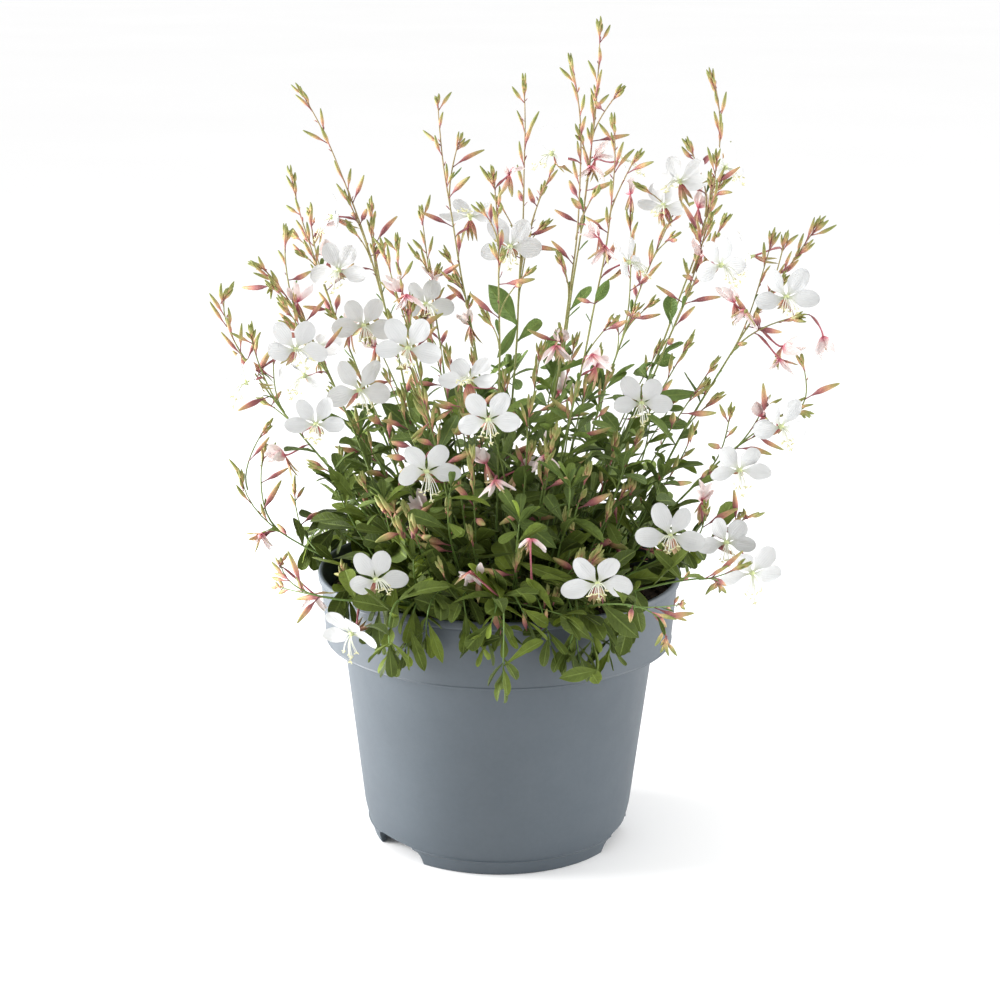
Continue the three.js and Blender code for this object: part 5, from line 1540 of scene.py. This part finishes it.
def make_flower(number, flower):
    """An open flower facing +Z with +Y up, then turned and moved to its place."""
    piece = Piece(f"gaura_flower_{number:02d}")
    size, turn = flower["size"], flower_frame(flower["facing"])

    def add(net, points, kind, **values):
        piece.add(net, points @ turn.T + flower["centre"], kind, **values)

    add(PETAL_NET, petal_points(PETAL_REACH * size, flower["cup"]), PETAL, tint=rng.uniform(0, 1, 4))
    add(SEPAL_NET, sepal_points(size), FLOWER_SEPAL, tint=rng.uniform(0, 1, 4), age=SEPAL_NET["along"])
    throat = np.array([[[0, 0, z] for z in THROAT_HEIGHTS]])
    add(THROAT_NET, tube_points(THROAT_NET, throat, THROAT_RADII), FILAMENT, age=0.0)

    # the stamens hang forward, each with a rocking anther, and the style with its lobes among them
    fan = np.linspace(-1, 1, STAMENS)
    aside, below = fan * rng.uniform(3.6, 4.8, STAMENS), -rng.uniform(6.8, 10.2, STAMENS) + 1.6 * np.abs(fan)
    tips = np.stack([aside, below, rng.uniform(5.0, 8.0, STAMENS)], axis=-1)
    tips = np.concatenate([tips, [STYLE_TIP]]) * size
    t = np.linspace(0, 1, 7)
    way = tips[:, None] * t[:, None] + np.sin(np.pi * t)[:, None] * np.array([0.0, 0.25, 0.2]) * 5
    radii = np.tile([[FILAMENT_RADIUS]] * STAMENS + [[STYLE_RADIUS]], len(t))
    add(FILAMENT_NET, tube_points(FILAMENT_NET, way, radii), FILAMENT, age=tube_age(FILAMENT_NET, t))
    lie = unit(rng.normal(size=(STAMENS, 3)) * [1, 0.5, 0.5])
    t = np.linspace(-1, 1, 6)
    way = tips[:-1, None] + lie[:, None] * (t * ANTHER_HALF_LENGTH)[:, None]
    radii = np.tile(ANTHER_RADIUS * np.sqrt(np.clip(1.12 - t**2, 0.1, 1)), (STAMENS, 1))
    add(ANTHER_NET, tube_points(ANTHER_NET, way, radii, flat=0.7), ANTHER)
    a = np.arange(4) * np.pi / 2 + 0.5
    lobes = np.stack([np.cos(a), np.sin(a) * 0.7, np.full(4, 0.5)], axis=-1)
    t = np.linspace(0, 1, 6)
    way = tips[-1] + lobes[:, None] * (t * LOBE_LENGTH)[:, None]
    radii = np.tile(LOBE_RADIUS * np.sqrt(np.clip(1.05 - t**2 * 0.8, 0.1, 1)), (4, 1))
    add(ANTHER_NET, tube_points(ANTHER_NET, way, radii), ANTHER)
    piece.make(FLOWER_SKINS, f"flower_{number:02d}")


for number, flower in enumerate(plant.flowers, start=1):
    make_flower(number, flower)


# pot
POT_SIDES, PEAT_SIDES, DRAIN_SIDES = 192, 200, 28
SHARP_ANGLE = math.radians(38)
SHELF = POT_HEIGHT - COLLAR_HEIGHT
BODY_SLOPE = (BODY_TOP_RADIUS - BODY_FOOT_RADIUS) / (SHELF - BODY_FOOT_HEIGHT)


def softened(profile, radii, steps=5):
    """A profile with each inner corner replaced by a quadratic arc: from the points a radius away on
    both sides, (1-t)^2 a + 2(1-t) t corner + t^2 b."""
    corner = profile[1:-1]
    into, out = profile[:-2] - corner, profile[2:] - corner
    into_length, out_length = np.linalg.norm(into, axis=1), np.linalg.norm(out, axis=1)
    reach = np.minimum(radii, 0.45 * np.minimum(into_length, out_length))
    a = corner + into * (reach / into_length)[:, None]
    b = corner + out * (reach / out_length)[:, None]
    t = np.linspace(0, 1, steps)[None, :, None]
    arcs = (1 - t) ** 2 * a[:, None] + 2 * (1 - t) * t * corner[:, None] + t**2 * b[:, None]
    return np.concatenate([profile[:1], arcs.reshape(-1, 2), profile[-1:]])


def turned_surface(profile, sides):
    """The net and points of a profile, carried round the axis, whose ends lie on it."""
    a = np.arange(sides) / sides * 2 * np.pi
    radius, height = profile[1:-1, :1], profile[1:-1, 1:]
    rings = np.stack([radius * np.cos(a), radius * np.sin(a), height + 0 * a], axis=-1)
    poles = np.array([[0, 0, profile[0, 1]], [0, 0, profile[-1, 1]]])
    return tube_net(len(radius), sides), np.concatenate([rings.reshape(-1, 3), poles])


def body_inside(z):
    """The body's inner radius, which grows evenly with the height."""
    return BODY_FOOT_RADIUS - WALL + BODY_SLOPE * (z - BODY_FOOT_HEIGHT)


def collar_inside(z):
    """The collar's inner radius, 2.4 mm wider at its top than at its foot."""
    return COLLAR_FOOT_RADIUS - WALL + (2.4 * (z - SHELF)) / COLLAR_HEIGHT


def solid_object(name, points, faces):
    """An object of points in millimetres and lists of their numbers."""
    mesh = bpy.data.meshes.new(name)
    mesh.from_pydata((points * 0.001).tolist(), [], faces)
    return linked(name, mesh)


def notch_cutter(azimuth):
    """A prism through the foot: half a rounded arch, carried from 14 mm inside the foot outwards."""
    half = FOOT_RADIUS * math.tan(math.radians(NOTCH_WIDTH / 2))
    turn = np.linspace(0, np.pi, 17)
    n = len(turn)
    points = np.zeros((2, n, 3))
    points[..., 0] = half * np.sign(np.cos(turn)) * np.abs(np.cos(turn)) ** 0.45
    points[..., 1] = [[14 - FOOT_RADIUS], [-16 - FOOT_RADIUS]]
    points[..., 2] = -1 + (NOTCH_HEIGHT + 1) * np.sin(turn) ** 0.55
    a = math.radians(azimuth)
    spin = np.array([[math.cos(a), -math.sin(a), 0], [math.sin(a), math.cos(a), 0], [0, 0, 1]])
    sides = [[i, (i + 1) % n, (i + 1) % n + n, i + n] for i in range(n)]
    near, far = ([[0, i + 1, i] for i in range(1, n - 1)], [[n, n + i, n + i + 1] for i in range(1, n - 1)])
    return solid_object("notch_cutter", points.reshape(-1, 3) @ spin.T, sides + near + far)


def drain_cutter(i):
    """An upright rod through the base plate, one of an even ring."""
    turn = ((i + 0.5) / DRAIN_COUNT) * 2 * math.pi
    middle = vector(DRAIN_CIRCLE * math.cos(turn), DRAIN_CIRCLE * math.sin(turn), PLATE_HEIGHT)
    net = tube_net(2, DRAIN_SIDES)
    centres = np.array([[middle - [0, 0, 4], middle + [0, 0, 5]]])
    points = tube_points(net, centres, np.full((1, 2), DRAIN_RADIUS))[0]
    return solid_object("drain_cutter", points, net["quads"].tolist() + net["tris"].tolist())


def make_pot():
    """The pot: the part's own profile with rounded corners, turned, then cut by notches and drains."""
    lip = POT_HEIGHT - 4
    plate_top = PLATE_HEIGHT + WALL
    # each corner: radius, height and how round it is, from the middle of the foot out, up and back in
    corners = np.array(
        [
            (0, 0, 0),
            (CENTRE_FOOT_RADIUS, 0, 0.8),
            (CENTRE_FOOT_RADIUS + 1, PLATE_HEIGHT, 1.0),
            (FOOT_RADIUS - 3.5, PLATE_HEIGHT, 1.0),
            (FOOT_RADIUS - 2.2, 0, 0.5),
            (FOOT_RADIUS, 0, 1.2),
            (FOOT_RADIUS + 2.3, 7.2, 2.0),
            (FOOT_RADIUS + 3.5, 8.3, 0.2),
            (FOOT_RADIUS + 2.8, 8.7, 0.15),
            (BODY_FOOT_RADIUS, BODY_FOOT_HEIGHT, 5.0),
            (BODY_TOP_RADIUS, SHELF - 1.4, 1.6),
            (COLLAR_FOOT_RADIUS - 0.7, SHELF - 0.2, 0.3),
            (COLLAR_FOOT_RADIUS + 0.3, SHELF + 0.3, 0.25),
            (COLLAR_FOOT_RADIUS + 0.35, SHELF + 0.9, 0.25),
            (COLLAR_FOOT_RADIUS + 0.02, SHELF + 1.25, 0.3),
            (RIM_RADIUS - 1.6, lip - 1.4, 0.5),
            (RIM_RADIUS - 1.75, lip - 0.7, 0.3),
            (RIM_RADIUS - 0.2, lip + 0.1, 0.7),
            (RIM_RADIUS, lip + 2.0, 1.2),
            (RIM_RADIUS - 0.5, POT_HEIGHT - 0.05, 1.1),
            (RIM_RADIUS - 2.5, POT_HEIGHT - 0.1, 0.9),
            (RIM_RADIUS - 3.0, lip + 1.0, 0.8),
            (collar_inside(SHELF + 6), SHELF + 6, 2.0),
            (COLLAR_FOOT_RADIUS - WALL - 1.2, SHELF + WALL, 1.0),
            (body_inside(SHELF), SHELF + WALL - 0.2, 0.8),
            (body_inside(BODY_FOOT_HEIGHT), BODY_FOOT_HEIGHT + 0.6, 3.0),
            (FOOT_RADIUS - 0.4, plate_top + 0.3, 1.5),
            (0, plate_top, 0),
        ]
    )
    net, points = turned_surface(softened(corners[:, :2], corners[1:-1, 2]), POT_SIDES)
    body = solid_object("moulded_pot", points, net["quads"].tolist() + net["tris"].tolist())
    cutters = [notch_cutter(azimuth) for azimuth in NOTCH_AZIMUTHS]
    cutters += [drain_cutter(i) for i in range(DRAIN_COUNT)]
    for cutter in cutters:
        cut = body.modifiers.new("cut", "BOOLEAN")
        cut.operation, cut.solver, cut.object = "DIFFERENCE", "EXACT", cutter
    bpy.context.view_layer.update()
    finished = bpy.data.meshes.new_from_object(body.evaluated_get(bpy.context.evaluated_depsgraph_get()))
    body.modifiers.clear()
    body.data = finished
    for cutter in cutters:
        bpy.data.objects.remove(cutter)
    finished.shade_smooth()
    finished.set_sharp_from_angle(angle=SHARP_ANGLE)
    finished.materials.clear()
    finished.materials.append(pot_finish())
    hand_over(body, "pot")


make_pot()


# peat
def value_noise(x, y, size, seed):
    """Smooth noise: random heights on a square lattice of the given size, blended between its corners
    by 3t^2 - 2t^3 both ways."""
    lattice = np.random.default_rng(seed).uniform(-1, 1, (96, 96))
    u, v = x / size + 40.0, y / size + 40.0
    i, j = np.floor(u).astype(int), np.floor(v).astype(int)
    a, b = u - i, v - j
    a, b = a * a * (3 - 2 * a), b * b * (3 - 2 * b)
    low, high = (lattice[i % 96, q % 96] * (1 - a) + lattice[(i + 1) % 96, q % 96] * a for q in (j, j + 1))
    return low * (1 - b) + high * b


def peat_relief(x, y):
    """Three scales of noise, 20, 7 and 2.6 mm, in falling height."""
    return 1.0 * value_noise(x, y, 20, 1) + 0.8 * value_noise(x, y, 7, 2) + 0.55 * value_noise(x, y, 2.6, 3)


def make_peat():
    """Peat that fills the pot: turned sides as the part has, a top raised by the relief, and crumbs."""
    gap = SEAT_GAP + 0.1
    low = PLATE_HEIGHT + WALL + gap + 0.3
    edge = collar_inside(SOIL_LEVEL) - gap
    profile = [
        (0, low),
        (FOOT_RADIUS - 2, low),
        (body_inside(BODY_FOOT_HEIGHT) - gap, BODY_FOOT_HEIGHT + 1.4),
        (body_inside(SHELF) - gap - 0.3, SHELF + WALL + 0.2),
        (COLLAR_FOOT_RADIUS - WALL - 2.1, SHELF + WALL + gap + 0.2),
        (collar_inside(SHELF + 4) - gap - 0.4, SHELF + 5),
    ]
    profile += [(edge - 0.2 - d, SOIL_LEVEL) for d in [0, 0.8, *np.arange(2, edge - 3, 1.4)]]
    profile += [(0, SOIL_LEVEL)]
    net, points = turned_surface(np.array(profile), PEAT_SIDES)
    top = points[:, 2] > SOIL_LEVEL - 0.5
    x, y = points[top, 0], points[top, 1]
    fall = np.clip((edge - np.hypot(x, y)) / 5, 0, 1)
    points[top, 2] += peat_relief(x, y) * (0.3 + 0.7 * fall) + 1.2 * (1 - fall) - 1.0
    piece = Piece("peat")
    piece.add(net, points[None], 0, tint=0.2)
    # crumbs and bits of fibre on the top
    radius, turn = edge * np.sqrt(rng.uniform(0, 0.97, CRUMBS)), rng.uniform(0, 2 * np.pi, CRUMBS)
    x, y = radius * np.cos(turn), radius * np.sin(turn)
    scale = rng.gamma(2.2, 0.42, CRUMBS)
    centre = np.stack([x, y, SOIL_LEVEL - 1.0 + peat_relief(x, y) + 0.35 * scale], axis=-1)
    net = tube_net(4, 6)
    lie = unit(rng.normal(size=(CRUMBS, 3)) * [1, 1, 0.4])
    t = np.array([-0.9, -0.45, 0.4, 0.9])
    way = centre[:, None] + lie[:, None] * (t * (scale * rng.uniform(0.8, 2.2, CRUMBS))[:, None])[..., None]
    radii = scale[:, None] * rng.uniform(0.55, 1.0, (CRUMBS, 4)) * np.array([0.55, 1, 1, 0.5])
    way = way + rng.normal(size=way.shape) * 0.12 * scale[:, None, None]
    piece.add(net, tube_points(net, way, radii), 0, tint=rng.uniform(0, 1, CRUMBS))
    piece.make([peat_finish()], "soil")


make_peat()


# floor, light and camera
FLOOR_HALF = 30000.0
WORLD_STRENGTH = 1.02
LIGHT_AIM = vector(0.0, 0.0, 0.2)
SENSOR_WIDTH = 36.0


def make_floor():
    """A pale sheet of 60 m by 60 m, so that its far edge is above the picture."""
    corners = FLOOR_HALF * np.array([[-1, -1, 0], [1, -1, 0], [1, 1, 0], [-1, 1, 0]])
    floor = solid_object("studio_floor", corners, [(0, 1, 2, 3)])
    paper = Finish("studio_paper_matt_white", 0.1, Roughness=0.9)
    colour = paper.node("ValToRGB", {0: paper.spots(900)}, stops=[(0.3, "#fbfbfb"), (0.7, "#fdfdfd")])
    paper.tree.links.new(colour, paper.shader.inputs["Base Color"])
    floor.data.materials.append(paper.material)


def aimed(name, data, place, right, top, forward):
    """A lamp or camera at a place in metres that looks along forward with its top up."""
    made = linked(name, data)
    made.matrix_world = Matrix([[right[i], top[i], -forward[i], place[i]] for i in range(3)] + [[0, 0, 0, 1]])
    return made


def add_light(name, place, size, power):
    """A square area lamp, turned to face the middle of the plant."""
    data = bpy.data.lights.new(name, "AREA")
    data.shape, data.size, data.energy = "SQUARE", size, power
    forward = unit(LIGHT_AIM - place)
    aimed(name, data, place, *cross_frame(forward), forward)


def make_studio():
    """An even white world, since the photograph is a cut-out on pure white, and a soft lamp each side."""
    world = bpy.data.worlds.new("white_studio")
    world.use_nodes = True
    background = world.node_tree.nodes["Background"]
    background.inputs["Color"].default_value = linear("#ffffff")
    background.inputs["Strength"].default_value = WORLD_STRENGTH
    bpy.context.scene.world = world
    bpy.context.scene.view_settings.view_transform = "Standard"
    add_light("left_softbox", vector(-1.2, 0.1, 0.26), 0.9, 49.0)
    add_light("right_softbox", vector(1.3, -0.12, 0.28), 1.0, 20.0)


def make_camera():
    """The photograph's camera: 1.13 m in front of the pot and 0.48 m up, 14.8 degrees down."""
    forward = vector(0, math.cos(CAMERA_PITCH), -math.sin(CAMERA_PITCH))
    level, up = vector(1, 0, 0), vector(0, math.sin(CAMERA_PITCH), math.cos(CAMERA_PITCH))
    right = level * math.cos(CAMERA_ROLL) + up * math.sin(CAMERA_ROLL)
    top = up * math.cos(CAMERA_ROLL) - level * math.sin(CAMERA_ROLL)
    data = bpy.data.cameras.new("photo_camera")
    data.sensor_width = SENSOR_WIDTH
    data.lens = FOCAL_PIXELS * SENSOR_WIDTH / PICTURE_PIXELS
    data.clip_end = 200
    place = vector(0, -CAMERA_BACK, CAMERA_HEIGHT) * 0.001
    bpy.context.scene.camera = aimed("photo_camera", data, place, right, top, forward)


make_floor()
make_studio()
make_camera()
